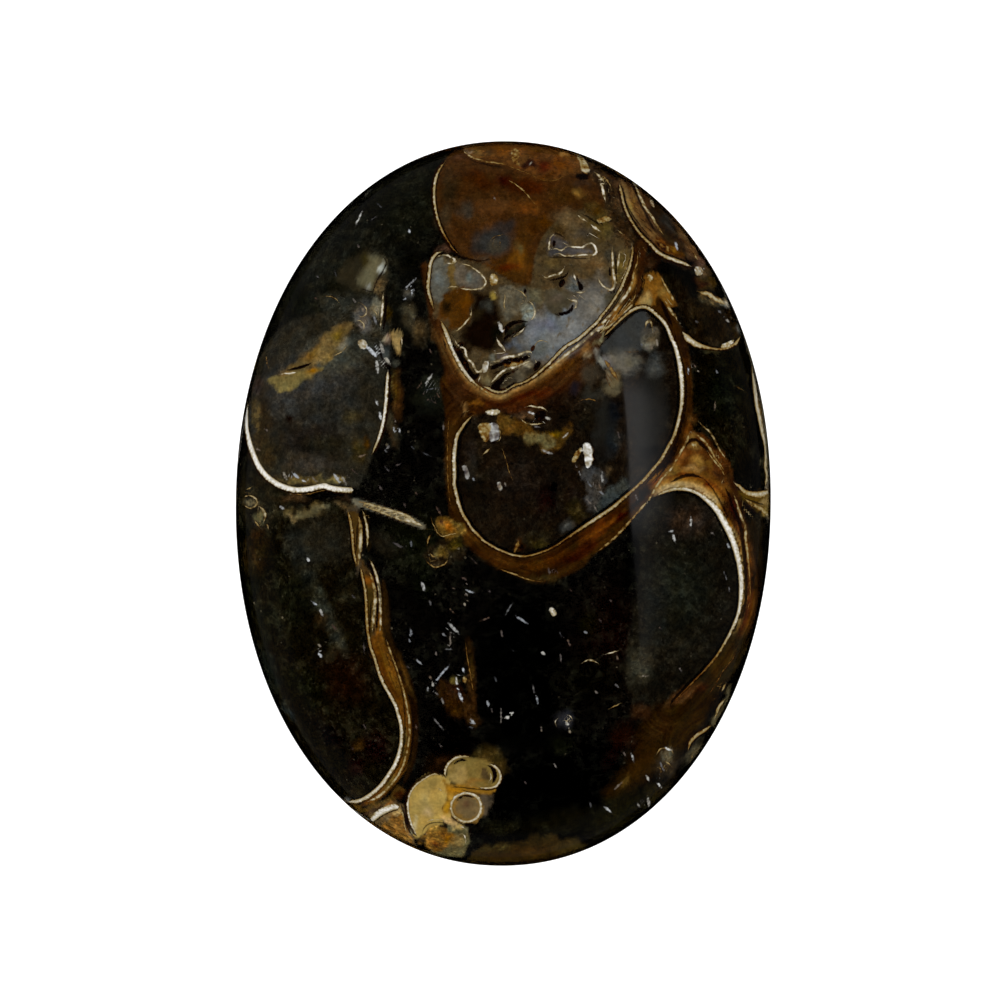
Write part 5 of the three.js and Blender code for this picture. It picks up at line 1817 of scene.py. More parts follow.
# %% Flecks
BRIGHT, DULL, DIM = 0.76, 0.5, 0.34
FLECK_SHARE = 0.66
FLECKS = [
    (BRIGHT, [
        (368, 347.5, 375.5, 355.5, 5), (376.7, 361.5, 377.6, 371, 4.4), (381, 345, 384, 355, 4.4),
        (384, 356, 389, 363, 4.6), (518, 617.5, 525, 622, 3.2), (542.3, 652.8, 543.5, 653.4, 4.2),
        (437, 679.5, 447, 667.5, 2.6), (459.5, 694, 461.5, 699, 4), (450.5, 625, 457, 632, 4),
        (566.5, 723, 568, 725, 3.6), (426.5, 382, 431, 376, 2.6), (456, 679, 457, 683, 3),
        (466, 590.5, 471, 592, 3.2), (487.5, 702, 488.5, 705, 3), (510.5, 713.5, 512, 713, 2.8),
        (507, 717, 508, 717.5, 3.6), (422.5, 584, 424, 589.5, 4), (432.5, 683.5, 432.7, 685, 3.6),
        (427.5, 684, 427.8, 684.7, 2.8), (427.8, 687.5, 428, 689.5, 3), (471.5, 720.5, 474, 722.5, 3.2),
        (648, 799, 649, 805, 4), (606, 808, 610, 811, 2.8), (647, 777, 648, 779, 3.2),
        (411, 631, 411.5, 635, 3.2), (417.5, 660.5, 420, 663, 3), (537, 698, 537.5, 702, 2.6),
        (675.5, 243, 677, 248, 3.2), (700, 269, 701.5, 274, 3.4), (319.5, 654.5, 321, 656, 4.2),
        (307.8, 559, 308.5, 560.5, 3.6), (281, 507, 282.5, 508, 3.6), (670.5, 531.5, 673, 531, 2.8),
        (673, 535, 674.5, 540, 3.4), (691, 519, 691, 525, 2.6), (728, 545, 729, 547, 3.2),
        (407, 286.7, 413, 281, 2.4), (405, 299, 409, 297, 2.2), (409, 297, 412.5, 292, 2.2),
        (357, 222, 361, 214, 2.2), (409, 230, 409.5, 232, 2.8), (632, 755, 633.5, 760, 2.8),
        (314, 603, 319, 607, 2.8), (319, 607, 322, 614, 3.2), (727, 320, 728, 321, 3.2),
        (463, 669, 463.3, 671, 2.8), (666, 748, 670, 750, 2.8), (658, 784, 660, 786, 2.8),
        (605, 165, 607, 167, 3.2), (598, 328.5, 602, 326, 3.4), (688, 368, 688.3, 372, 2),
        (544, 451, 550, 453, 3), (602, 474, 602.5, 482, 3.2), (564.5, 436.5, 567, 434, 2.4),
        (530, 412.5, 533, 413.5, 3.4), (547, 418, 549.5, 418.5, 3.6), (284, 474, 286, 478, 4),
        (294, 474, 298, 478, 3.6), (302, 480, 305, 481, 3), (335, 476, 339, 481, 4.2),
        (379.8, 414, 380.6, 418, 3), (376, 401, 377.5, 403.5, 3), (394, 429, 394.5, 431, 2.8),
        (399, 429, 399.5, 431, 2), (703, 269, 703.5, 273, 2.8), (530, 164, 531.5, 162.5, 1.8),
    ]),
    (DULL, [
        (458, 591, 466, 595, 1.8), (455, 589, 462, 592, 1.6), (443, 634, 444, 635, 2.6),
        (450, 635, 450.3, 645, 2), (533, 687, 534, 692, 2), (585, 632, 586, 632.5, 3),
        (616, 685, 617.5, 686.5, 3), (661, 764, 663, 769, 2.6), (719, 311, 720, 312, 2.6),
        (696, 321, 697, 322, 2.6), (616, 788, 620, 784, 2.6), (715, 404, 714.5, 409, 2),
        (443, 426, 443.5, 429, 2.6), (507, 612, 511, 605, 2), (560.5, 656, 561, 660, 2.6),
        (436, 693, 438, 695, 2), (442, 699, 443, 702, 2.6), (501, 711, 501, 719, 1.4),
        (541, 728, 541.5, 730, 2.4), (435, 720, 441, 727, 2), (411, 542, 411.5, 545, 3),
        (409, 639, 409.5, 641, 2.6), (435.5, 652, 436, 654, 2.6), (430, 677, 430.5, 679, 3),
        (497, 510, 495, 512, 2.6), (464.5, 604, 465, 605, 2.6), (319, 645, 320, 646, 2.8),
        (263, 641, 264, 643, 2.6), (555, 765, 556, 767, 1.8), (596, 692, 597, 693, 2.6),
        (680, 669, 681, 671, 2), (643, 676, 646, 676, 2), (656.5, 340, 657.5, 345, 2.8),
        (646, 346.5, 646.5, 348, 3.2), (641.5, 344.5, 642.5, 345.5, 2.6), (651, 346.5, 651.5, 348, 3),
        (598.5, 484, 600.5, 488, 2.8), (587, 500, 590, 503, 2.6), (588, 482, 591, 486, 2.6),
        (594, 506, 596, 510, 2.4), (600, 492, 603, 494, 2.4), (725, 575, 727.5, 583, 1.4),
        (727.5, 583, 729.5, 590, 1.4), (535, 426, 538, 427, 3), (362, 308, 364.5, 312, 3),
        (374, 317, 376, 322, 3), (360, 326, 362, 327.5, 3.4), (354, 300, 355, 302, 2.4),
        (342, 477, 345, 482, 3.4), (313, 478, 316, 481, 2.4), (257, 449, 259, 450, 2.4),
        (360, 456.5, 364, 455, 2.6), (712, 533, 713, 534, 2.4), (694, 365, 696, 367, 2),
        (697, 369, 698, 371, 2), (716.5, 371, 717.5, 373, 2), (549, 570, 549.5, 572.5, 2.8),
        (569.5, 730, 570, 733, 2.4), (470.5, 727, 472, 728, 2), (505, 484, 505.5, 486, 2.2),
        (497, 510, 497.5, 511.5, 2.4), (473, 478, 473.5, 479.5, 2), (636, 496, 637, 499, 2.8),
        (576, 466, 577, 468, 2), (579, 471, 580, 474, 2), (266, 429.5, 267, 430.5, 2.4),
        (494, 198, 494.5, 199, 2.4), (447, 649, 451, 649, 1.8), (491, 708, 492, 711, 2.6),
        (624, 753, 625, 755, 2.4), (638, 804, 639, 806, 2.6), (388.5, 445, 389, 447, 2.2),
        (385, 450, 386, 451.5, 2), (395, 420, 395.4, 421.5, 1.6),
    ]),
    (DIM, [
        (501.5, 632, 502, 635, 2.4), (617, 657, 617.5, 659, 2.4), (489, 591, 490, 592, 2.4),
        (590, 803, 590.5, 806, 2.2), (525, 782, 526, 783, 2.4), (660, 628, 661, 629, 2.2),
        (618, 433, 619, 436, 2), (421, 384, 418, 387, 1.8), (425, 390, 437, 388, 1.2),
        (424, 398, 434, 402, 1.2), (423, 392, 425, 399, 1.4), (436, 392, 439, 397, 1.4),
        (352, 470, 356, 473, 1.8), (371, 220, 374, 218, 1.4), (335, 272, 336, 275, 1.8),
        (315, 298, 317, 299, 1.8), (378, 204, 381, 207, 1.6), (451, 610, 453, 612, 1.4),
        (473, 560, 475, 562, 1.2), (397, 465, 400, 464, 2.2), (424, 453, 428, 455, 2),
        (380, 487, 381, 489, 3), (404, 504, 405, 506, 2.4), (412, 447, 413, 448, 2),
        (416, 493, 417, 494, 1.8), (386, 468, 388, 470, 2), (394, 543, 402, 547, 3.6),
        (463, 578, 466, 580, 3), (437, 508, 440, 513, 2.8), (483, 620, 488, 618, 2.2),
        (560, 633, 561, 635, 2), (568, 641, 570, 645, 2.6), (495, 678, 496, 680, 2.6),
        (430, 602, 430.5, 604, 2.6), (408, 667, 409, 668, 1.6), (416, 725, 416.5, 728, 2.2),
        (364, 644, 364.3, 650, 2), (353, 596, 354, 597, 2.6), (333, 626, 336, 629, 3),
        (364, 725, 365, 727, 2.4), (352, 748, 353, 749, 2.6), (262, 640, 264, 645, 2),
        (556, 570, 557, 572, 2), (570, 590, 571, 591, 1.8), (512, 650, 513, 651, 1.4),
        (440, 745, 441, 746, 2), (600, 620, 601, 622, 1.8), (610, 600, 611, 601, 1.8),
        (317, 276, 318, 277, 2), (358, 245, 358.5, 246.5, 2), (414, 319, 414.5, 320, 1.8),
        (430, 350, 431, 352, 1.8),
    ]),
]
FLECK_REACH = 0.16
FLECK_APART = 0.11
fleck_count = sum(len(strokes) for _, strokes in FLECKS)
dice = np.random.default_rng(5)
nearest = np.full(len(points), FAR)
second = np.full(len(points), FAR)
flecks = np.tile(np.array([FAR, FAR, 0.0]), (len(points), 1))
fleck_look = np.zeros((len(points), 3))
for tone, strokes in FLECKS:
    for ax, ay, bx, by, wide_px in strokes:
        ends = on_stone([(ax, ay), (bx, by)])
        middle, step = ends.mean(0), ends[1] - ends[0]
        half_width = FLECK_SHARE * wide_px / 2 / PIXELS_PER_MM
        core = np.hypot(*step) / 2
        way = step / max(2 * core, 1e-6)
        off = plane - middle
        along = off @ way
        across = off @ np.array([-way[1], way[0]])
        outside = np.hypot(np.maximum(np.abs(along) - core, 0), across) - half_width
        mine = outside < nearest
        second = np.where(mine, nearest, np.minimum(second, outside))
        nearest = np.where(mine, outside, nearest)
        place = np.stack([along / (core + half_width), across / half_width, 0 * along], -1)
        flecks[mine] = place[mine]
        fleck_look[mine] = (tone * dice.uniform(0.8, 1.15), dice.uniform(0.4, 1.0), half_width)
flecks[:, 2] = (nearest < FLECK_REACH) & (second - nearest > FLECK_APART)
print(len(CHIPS), "chips and", fleck_count, "flecks")

# %% [markdown]
# ## The mesh
# The points go into one closed mesh with the attributes beside them. It stands for the CAD solid, at the
# same size, and rides on the only body.

# %% Build the stone
mesh = bpy.data.meshes.new("jasper_stone")
mesh.from_pydata((points * MM).tolist(), [], quads.tolist() + stitches.tolist())
mesh.polygons.foreach_set("use_smooth", np.ones(len(mesh.polygons), bool))
vectors = {
    "ground": ground, "walls": walls["line"], "wall_gaps": walls["gaps"], "ribs": ribs["line"],
    "threads": threads["line"], "seams": seams["line"], "chips": chips, "flecks": flecks,
    "fleck_look": fleck_look,
}
for name, values in vectors.items():
    attribute = mesh.attributes.new(name, "FLOAT_VECTOR", "POINT")
    attribute.data.foreach_set("vector", values.astype(np.float32).ravel())
attribute = mesh.attributes.new("texture", "FLOAT_COLOR", "POINT")
attribute.data.foreach_set("color", texture.astype(np.float32).ravel())
mesh.update()
stone = bpy.data.objects.new("jasper_stone", mesh)
bpy.context.collection.objects.link(stone)
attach(stone, "root")
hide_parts("cabochon")
print(len(mesh.polygons), "faces carry", len(mesh.attributes), "attributes")

# %% [markdown]
# ## The finish
# Silicified rock takes a glassy polish: the face has an index of about 1.54 and almost no roughness, and the
# back is only lapped, so it is satin. The material reads the distances and turns them into walls, gaps and
# chips, and adds what is finer than the mesh. One function adds every node.

# %% One helper for nodes


def add(tree, kind, wires=None, out=0, **settings):
    """Adds a node, sets its own settings and fills or links its inputs. It gives back one output, if any."""
    node = tree.nodes.new("ShaderNode" + kind)
    for name, value in settings.items():
        setattr(node, name, value)
    for socket, value in (wires or {}).items():
        if isinstance(value, bpy.types.NodeSocket):
            tree.links.new(value, node.inputs[socket])
        else:
            node.inputs[socket].default_value = value
    return node.outputs[out] if node.outputs else None


def rgba(colour):
    """A hex colour as the four numbers a colour socket takes."""
    return (*linear(colour), 1.0)


def split(tree, name):
    """The three numbers kept in one attribute of the stone."""
    vector = add(tree, "Attribute", out="Vector", attribute_name=name)
    apart = add(tree, "SeparateXYZ", {0: vector}).node
    return apart.outputs[0], apart.outputs[1], apart.outputs[2]


EDGE = 0.02


def step_up(tree, value, at, soft=EDGE):
    """0 below a value and 1 above it, with an edge a little softer than a pixel."""
    over = add(tree, "Math", {0: value, 1: at}, operation="SUBTRACT")
    return add(tree, "MapRange", {0: over, 1: -soft, 2: soft, 3: 0.0, 4: 1.0},
               interpolation_type="SMOOTHSTEP")


# %% [markdown]
# The rock's own noise comes in three sizes: blotches of about 1 mm, blots of a third of a millimetre and
# grains of a tenth. A Noise Texture's scale is one over the size, in millimetres, because the place it
# reads is given in millimetres too.

# %% Noise of the rock
BLOTCH_MM = 1.1
BLOT_MM = 0.34
GRAIN_MM = 0.12
BEAD_MM = 0.2
SHAKE_MM = 0.022


def rock_noise(tree):
    """The place in millimetres, the noise at three sizes, and a shake that roughens the lines' edges."""
    place = add(tree, "TexCoord", out="Object")
    mm = add(tree, "Mapping", {"Vector": place, "Scale": (1 / MM, 1 / MM, 1 / MM)})
    rock = {"mm": mm}
    for name, size, detail, warp in (
        ("blotch", BLOTCH_MM, 4.0, 0.6), ("blot", BLOT_MM, 3.0, 0.3), ("grain", GRAIN_MM, 2.0, 0.0),
    ):
        rock[name] = add(tree, "TexNoise", {"Vector": mm, "Scale": 1 / size, "Detail": detail,
                                            "Distortion": warp})
    rock["beads"] = add(tree, "TexNoise", {"Vector": mm, "Scale": 1 / BEAD_MM, "Detail": 1.0})
    rock["shake"] = add(tree, "MapRange", {0: rock["grain"], 1: 0.2, 2: 0.8, 3: -SHAKE_MM, 4: SHAKE_MM})
    return rock


# %% [markdown]
# Mottling is light and dark in the filling, as if its depth or its clearness changed from place to place. A
# power of two keeps it in proportion at every brightness, and where the filling turns lighter it also turns
# warmer or cooler by a second noise.

# %% Mottling
WARM = (1.2, 1.0, 0.74, 1.0)
COOL = (0.85, 1.0, 1.2, 1.0)
BLOTCH_SHARE, BLOT_SHARE, GRAIN_SHARE = 4.0, 5.0, 5.0
NOISE_MIDDLE = (BLOTCH_SHARE + BLOT_SHARE + GRAIN_SHARE) / 2
DRIFT_MM = 0.5
UNTINTED = (1.0, 1.0, 1.0, 1.0)


def mottled(tree, rock, colour, mottle):
    """The colour times 2 ^ (mottle n), where n adds up the three noises, each less its middle value."""
    total = -NOISE_MIDDLE
    for name, share in (("blotch", BLOTCH_SHARE), ("blot", BLOT_SHARE), ("grain", GRAIN_SHARE)):
        total = add(tree, "Math", {0: rock[name], 1: share, 2: total}, operation="MULTIPLY_ADD")
    power = add(tree, "Math", {0: total, 1: mottle}, operation="MULTIPLY")
    lift = add(tree, "Math", {0: 2.0, 1: power}, operation="POWER")
    drift = add(tree, "TexNoise", {"Vector": rock["mm"], "Scale": 1 / DRIFT_MM, "Detail": 3.0})
    hue = add(tree, "MapRange", {0: drift, 1: 0.35, 2: 0.65, 3: 0.0, 4: 1.0})
    tint = add(tree, "Mix", {0: hue, 6: WARM, 7: COOL}, out=2, data_type="RGBA")
    tint = add(tree, "Mix", {0: mottle, 6: UNTINTED, 7: tint}, out=2, data_type="RGBA")
    colour = add(tree, "VectorMath", {0: colour, 1: tint}, operation="MULTIPLY")
    return add(tree, "VectorMath", {0: colour, "Scale": lift}, operation="SCALE")


# %% [markdown]
# The amber bands grew in thin layers on the shells, so they are streaked along the walls. The layers are a
# noise that is read at the distance from the nearest wall, where it changes fast, and at the place on the
# stone, where it changes slowly.

# %% Layers along the walls
LAYER_MM = 0.09
LAYER_RUN_MM = 1.6
LAYER_DEPTH = 0.8
LAYER_PALE = (0.95, 1.04, 1.1, 1.0)
LAYER_DARK = (1.12, 0.92, 0.7, 1.0)


def layered(tree, rock, colour, bands, from_wall):
    """The colour times 2 ^ (bands n), with a redder hue in the layers' dark half."""
    across = add(tree, "Math", {0: from_wall, 1: 1 / LAYER_MM}, operation="MULTIPLY")
    flat = add(tree, "SeparateXYZ", {0: rock["mm"]}).node
    run_x = add(tree, "Math", {0: flat.outputs[0], 1: 1 / LAYER_RUN_MM}, operation="MULTIPLY")
    run_y = add(tree, "Math", {0: flat.outputs[1], 1: 1 / LAYER_RUN_MM}, operation="MULTIPLY")
    there = add(tree, "CombineXYZ", {0: across, 1: run_x, 2: run_y})
    layer = add(tree, "TexNoise", {"Vector": there, "Scale": 0.5, "Detail": 2.0})
    power = add(tree, "MapRange", {0: layer, 1: 0.3, 2: 0.7, 3: -LAYER_DEPTH, 4: LAYER_DEPTH}, clamp=False)
    power = add(tree, "Math", {0: power, 1: bands}, operation="MULTIPLY")
    lift = add(tree, "Math", {0: 2.0, 1: power}, operation="POWER")
    hue = add(tree, "MapRange", {0: layer, 1: 0.35, 2: 0.65, 3: 0.0, 4: 1.0})
    tint = add(tree, "Mix", {0: hue, 6: LAYER_DARK, 7: LAYER_PALE}, out=2, data_type="RGBA")
    tint = add(tree, "Mix", {0: bands, 6: UNTINTED, 7: tint}, out=2, data_type="RGBA")
    colour = add(tree, "VectorMath", {0: colour, 1: tint}, operation="MULTIPLY")
    return add(tree, "VectorMath", {0: colour, "Scale": lift}, operation="SCALE")


# %% [markdown]
# The milky chalcedony of the cracked whorl is full of olive-brown islands with pale rims. The islands are
# where a warped noise is high, and its contour lines are the rims. Small black specks lie between them.

# %% Islands and rims in the cracked filling
ISLAND_MM = 0.62
RIM_TONE = "#4a4a45"
ISLAND_TINT = (0.62, 0.5, 0.34)
ISLAND_FROM, ISLAND_FULL, ISLAND_COVER = 0.51, 0.59, 0.6
RIM_LEVEL, RIM_WIDTH, RIM_COVER = 0.525, 0.016, 0.36
SPECK_MM = 0.2
SPECK_FROM, SPECK_FULL, SPECK_COVER = 0.64, 0.72, 0.6


def crackled(tree, rock, colour, cracks):
    """Dark islands above a contour of a noise, a pale rim along it, and specks."""
    hills = add(tree, "TexNoise", {"Vector": rock["mm"], "Scale": 1 / ISLAND_MM, "Detail": 3.5,
                                   "Distortion": 1.1})
    island = add(tree, "MapRange", {0: hills, 1: ISLAND_FROM, 2: ISLAND_FULL, 3: 0.0, 4: ISLAND_COVER},
                 interpolation_type="SMOOTHSTEP")
    island = add(tree, "Math", {0: island, 1: cracks}, operation="MULTIPLY")
    olive = add(tree, "VectorMath", {0: colour, 1: ISLAND_TINT}, operation="MULTIPLY")
    colour = add(tree, "Mix", {0: island, 6: colour, 7: olive}, out=2, data_type="RGBA")
    off = add(tree, "Math", {0: hills, 1: RIM_LEVEL}, operation="SUBTRACT")
    off = add(tree, "Math", {0: off}, operation="ABSOLUTE")
    hair = add(tree, "MapRange", {0: off, 1: 0.0, 2: RIM_WIDTH, 3: RIM_COVER, 4: 0.0},
               interpolation_type="SMOOTHSTEP")
    patchy = add(tree, "MapRange", {0: rock["blotch"], 1: 0.4, 2: 0.56, 3: 0.0, 4: 1.0})
    hair = add(tree, "Math", {0: hair, 1: patchy}, operation="MULTIPLY")
    hair = add(tree, "Math", {0: hair, 1: cracks}, operation="MULTIPLY")
    pale = add(tree, "VectorMath", {0: colour, "Scale": 1.5}, operation="SCALE")
    pale = add(tree, "VectorMath", {0: pale, 1: tuple(linear(RIM_TONE))}, operation="ADD")
    colour = add(tree, "Mix", {0: hair, 6: colour, 7: pale}, out=2, data_type="RGBA")
    speck = add(tree, "TexNoise", {"Vector": rock["mm"], "Scale": 1 / SPECK_MM, "Detail": 1.0})
    speck = add(tree, "MapRange", {0: speck, 1: SPECK_FROM, 2: SPECK_FULL, 3: 0.0, 4: SPECK_COVER})
    speck = add(tree, "Math", {0: speck, 1: cracks}, operation="MULTIPLY")
    dark = add(tree, "VectorMath", {0: colour, "Scale": 0.2}, operation="SCALE")
    return add(tree, "Mix", {0: speck, 6: colour, 7: dark}, out=2, data_type="RGBA")


# %% [markdown]
# The mud is dusted with crumbs of shell, far too many to place by hand. A Voronoi Texture scatters one point
# per cell, and a crumb is drawn round it with a size and a brightness of that cell's own.

# %% Dust of shell crumbs
CRUMB_CELL_MM = 0.3
CRUMB_PALE = "#8d8266"
HAZE = "#11120b"
FINE_DUST = "#1c1b15"
CRUMB_LEAST, CRUMB_SPREAD = 0.03, 0.2
CRUMB_RAGGED = 0.35
CRUMB_EDGE = 0.09
CRUMB_FAINT, CRUMB_CLEAR = 0.05, 0.42


def dusted(tree, rock, colour, dust):
    """A crumb where the distance to the cell's point is below its radius: 0.03 + 0.2 r^3 of a cell. Under the
    crumbs lie a greenish haze and the finest dust, each where a noise is high, and all of it in patches."""
    patch = add(tree, "MapRange", {0: rock["blotch"], 1: 0.42, 2: 0.6, 3: 0.1, 4: 1.0},
                interpolation_type="SMOOTHSTEP")
    dust = add(tree, "Math", {0: dust, 1: patch}, operation="MULTIPLY")
    for noise, low, high, tone in ((rock["blot"], 0.46, 0.68, HAZE), (rock["grain"], 0.56, 0.74, FINE_DUST)):
        share = add(tree, "MapRange", {0: noise, 1: low, 2: high, 3: 0.0, 4: 1.0},
                    interpolation_type="SMOOTHSTEP")
        share = add(tree, "Math", {0: share, 1: dust}, operation="MULTIPLY")
        veil = add(tree, "VectorMath", {0: tuple(linear(tone)), "Scale": share}, operation="SCALE")
        colour = add(tree, "VectorMath", {0: colour, 1: veil}, operation="ADD")
    cells = add(tree, "TexVoronoi", {"Vector": rock["mm"], "Scale": 1 / CRUMB_CELL_MM}, feature="F1").node
    dice = add(tree, "SeparateColor", {0: cells.outputs["Color"]}).node
    size = add(tree, "Math", {0: dice.outputs[0], 1: 3.0}, operation="POWER")
    size = add(tree, "Math", {0: size, 1: CRUMB_SPREAD, 2: CRUMB_LEAST}, operation="MULTIPLY_ADD")
    ragged_far = add(tree, "Math", {0: rock["grain"], 1: CRUMB_RAGGED, 2: cells.outputs["Distance"]},
                     operation="MULTIPLY_ADD")
    room = add(tree, "Math", {0: size, 1: ragged_far}, operation="SUBTRACT")
    room = add(tree, "Math", {0: room, 1: CRUMB_RAGGED / 2}, operation="ADD")
    cover = add(tree, "MapRange", {0: room, 1: 0.0, 2: CRUMB_EDGE, 3: 0.0, 4: 1.0},
                interpolation_type="SMOOTHSTEP")
    level = add(tree, "MapRange", {0: dice.outputs[1], 1: 0.3, 2: 1.0, 3: CRUMB_FAINT, 4: CRUMB_CLEAR})
    cover = add(tree, "Math", {0: cover, 1: level}, operation="MULTIPLY")
    cover = add(tree, "Math", {0: cover, 1: dust}, operation="MULTIPLY")
    return add(tree, "Mix", {0: cover, 6: colour, 7: rgba(CRUMB_PALE)}, out=2, data_type="RGBA")


# %% [markdown]
# Shell tones run from dark brown stain through amber and tan to white, so one number per line picks its
# colour.

# %% Shell tones
SHELL_TONES = [
    (0.0, "#080302"), (0.2, "#2b1204"), (0.35, "#55320b"), (0.5, "#7a5c28"), (0.62, "#948152"),
    (0.75, "#ab9f80"), (0.88, "#cfc8b8"), (1.0, "#f2efe8"),
]
TONE_DROP, TONE_RISE = -0.13, 0.1


def shell_colour(tree, tone, warp):
    """The colour ramp of shell tones, read at a tone that wanders a little with the noise."""
    wander = add(tree, "MapRange", {0: warp, 1: 0.3, 2: 0.7, 3: TONE_DROP, 4: TONE_RISE})
    there = add(tree, "Math", {0: tone, 1: wander}, operation="ADD")
    colour = add(tree, "ValToRGB", {0: there})
    ramp = colour.node.color_ramp
    while len(ramp.elements) < len(SHELL_TONES):
        ramp.elements.new(0.5)
    for element, (place, shade) in zip(ramp.elements, SHELL_TONES):
        element.position = place
        element.color = rgba(shade)
    return colour


# %% [markdown]
# A line is drawn where the distance to it is less than half its width. It is palest along its middle and
# turns amber at its edges, as stained shell does. Ribs and threads break up into beads, because the silica
# that replaced them is grainy.

# %% Seams, ribs and threads
SEAM_INK = "#0a0302"
EDGE_TONE = 0.34
EDGE_POWER = 2.5
LINE_EDGE = 0.026


def rounded(tree, tone, away, half):
    """The tone less EDGE_TONE s^2.5, where s is 0 at the line's middle and 1 at its edge."""
    share = add(tree, "Math", {0: away, 1: half}, operation="DIVIDE")
    share = add(tree, "Math", {0: share, 1: EDGE_POWER}, operation="POWER")
    return add(tree, "Math", {0: share, 1: -EDGE_TONE, 2: tone}, operation="MULTIPLY_ADD")


def lined(tree, rock, colour):
    """Lays the dark seams, then the ribs, then the threads over the colour."""
    for name in ("seams", "ribs", "threads"):
        gap, width, shade = split(tree, name)
        moved = add(tree, "Math", {0: gap, 1: rock["shake"]}, operation="ADD")
        moved = add(tree, "Math", {0: moved}, operation="ABSOLUTE")
        room = add(tree, "Math", {0: width, 1: moved}, operation="SUBTRACT")
        cover = step_up(tree, room, 0.0, LINE_EDGE)
        if name == "seams":
            strength, shown = shade, rgba(SEAM_INK)
        else:
            strength = add(tree, "MapRange", {0: rock["beads"], 1: 0.36, 2: 0.54, 3: 0.25, 4: 1.0})
            shown = shell_colour(tree, rounded(tree, shade, moved, width), rock["beads"])
        cover = add(tree, "Math", {0: cover, 1: strength}, operation="MULTIPLY")
        colour = add(tree, "Mix", {0: cover, 6: colour, 7: shown}, out=2, data_type="RGBA")
    return colour


# %% [markdown]
# A wall comes with two dark lines: a black gap on the chamber's side and a red-brown stain outside.

# %% Walls with their gaps
GAP_INK = "#020202"
STAIN_INK = "#160702"
GAP_FULL_MM, GAP_COVER = 0.03, 0.92


def walled(tree, rock, colour, wall, gaps):
    """A red-brown line outside the wall, a black gap on the chamber's side, and the wall between them."""
    distance, half, tone = wall
    moved = add(tree, "Math", {0: distance, 1: rock["shake"]}, operation="ADD")
    for width, way, ink in ((gaps[1], -1.0, STAIN_INK), (gaps[0], 1.0, GAP_INK)):
        sided = add(tree, "Math", {0: moved, 1: way}, operation="MULTIPLY")
        reach = add(tree, "Math", {0: half, 1: width}, operation="ADD")
        before = add(tree, "Math", {0: reach, 1: sided}, operation="SUBTRACT")
        cover = step_up(tree, before, 0.0)
        past = step_up(tree, sided, 0.0)
        cover = add(tree, "Math", {0: cover, 1: past}, operation="MULTIPLY")
        strength = add(tree, "MapRange", {0: width, 1: 0.0, 2: GAP_FULL_MM, 3: 0.0, 4: GAP_COVER})
        cover = add(tree, "Math", {0: cover, 1: strength}, operation="MULTIPLY")
        colour = add(tree, "Mix", {0: cover, 6: colour, 7: rgba(ink)}, out=2, data_type="RGBA")
    away = add(tree, "Math", {0: moved}, operation="ABSOLUTE")
    room = add(tree, "Math", {0: half, 1: away}, operation="SUBTRACT")
    cover = step_up(tree, room, 0.0, LINE_EDGE)
    worn = add(tree, "MapRange", {0: rock["beads"], 1: 0.3, 2: 0.45, 3: 0.78, 4: 1.0})
    cover = add(tree, "Math", {0: cover, 1: worn}, operation="MULTIPLY")
    shell = shell_colour(tree, rounded(tree, tone, away, half), rock["grain"])
    return add(tree, "Mix", {0: cover, 6: colour, 7: shell}, out=2, data_type="RGBA")


# %% [markdown]
# Chips and flecks are shell too, in warm tones or in the cool grey of clear silica.

# %% Chips and flecks
GREY_SILICA = (0.78, 0.84, 0.92)
GREY_POWER = 2.4


def crumb_colour(tree, shade, cool, warp):
    """The shell's warm tone, or grey at the same brightness, as cool goes from 0 to 1."""
    warm = shell_colour(tree, shade, warp)
    level = add(tree, "Math", {0: shade, 1: GREY_POWER}, operation="POWER")
    grey = add(tree, "VectorMath", {0: GREY_SILICA, "Scale": level}, operation="SCALE")
    return add(tree, "Mix", {0: cool, 6: warm, 7: grey}, out=2, data_type="RGBA")


def chipped(tree, rock, colour):
    """Chips are where the depth inside them is positive. A fleck is the oval where its point's distance from
    the middle, measured in half lengths and half widths, is below 1."""
    depth, shade, cool = split(tree, "chips")
    depth = add(tree, "Math", {0: depth, 1: rock["shake"]}, operation="ADD")
    cover = step_up(tree, depth, 0.0, LINE_EDGE)
    patchy = add(tree, "MapRange", {0: rock["beads"], 1: 0.3, 2: 0.7, 3: -0.3, 4: 0.12})
    shade = add(tree, "Math", {0: shade, 1: patchy}, operation="ADD")
    crumb = crumb_colour(tree, shade, cool, rock["grain"])
    colour = add(tree, "Mix", {0: cover, 6: colour, 7: crumb}, out=2, data_type="RGBA")
    along, across, near = split(tree, "flecks")
    shade, cool, half = split(tree, "fleck_look")
    place = add(tree, "CombineXYZ", {0: along, 1: across})
    radius = add(tree, "VectorMath", {0: place}, out="Value", operation="LENGTH")
    room = add(tree, "Math", {0: 1.0, 1: radius}, operation="SUBTRACT")
    room = add(tree, "Math", {0: room, 1: half, 2: rock["shake"]}, operation="MULTIPLY_ADD")
    cover = step_up(tree, room, 0.0, LINE_EDGE)
    worn = add(tree, "MapRange", {0: rock["grain"], 1: 0.36, 2: 0.52, 3: 0.4, 4: 1.0})
    cover = add(tree, "Math", {0: cover, 1: worn}, operation="MULTIPLY")
    near = step_up(tree, near, 0.5, 0.2)
    cover = add(tree, "Math", {0: cover, 1: near}, operation="MULTIPLY")
    crumb = crumb_colour(tree, shade, cool, rock["grain"])
    return add(tree, "Mix", {0: cover, 6: colour, 7: crumb}, out=2, data_type="RGBA")


# %% [markdown]
# Painted shade darkens the stone's colour towards the steep rim and on the girdle, down to RIM_SHADE of it
# below the girdle's top, and it fades out again near the flat back. The studio's light is LIGHT_LEVEL times
# white, so the colours, which are those of the lit stone, are divided by it.

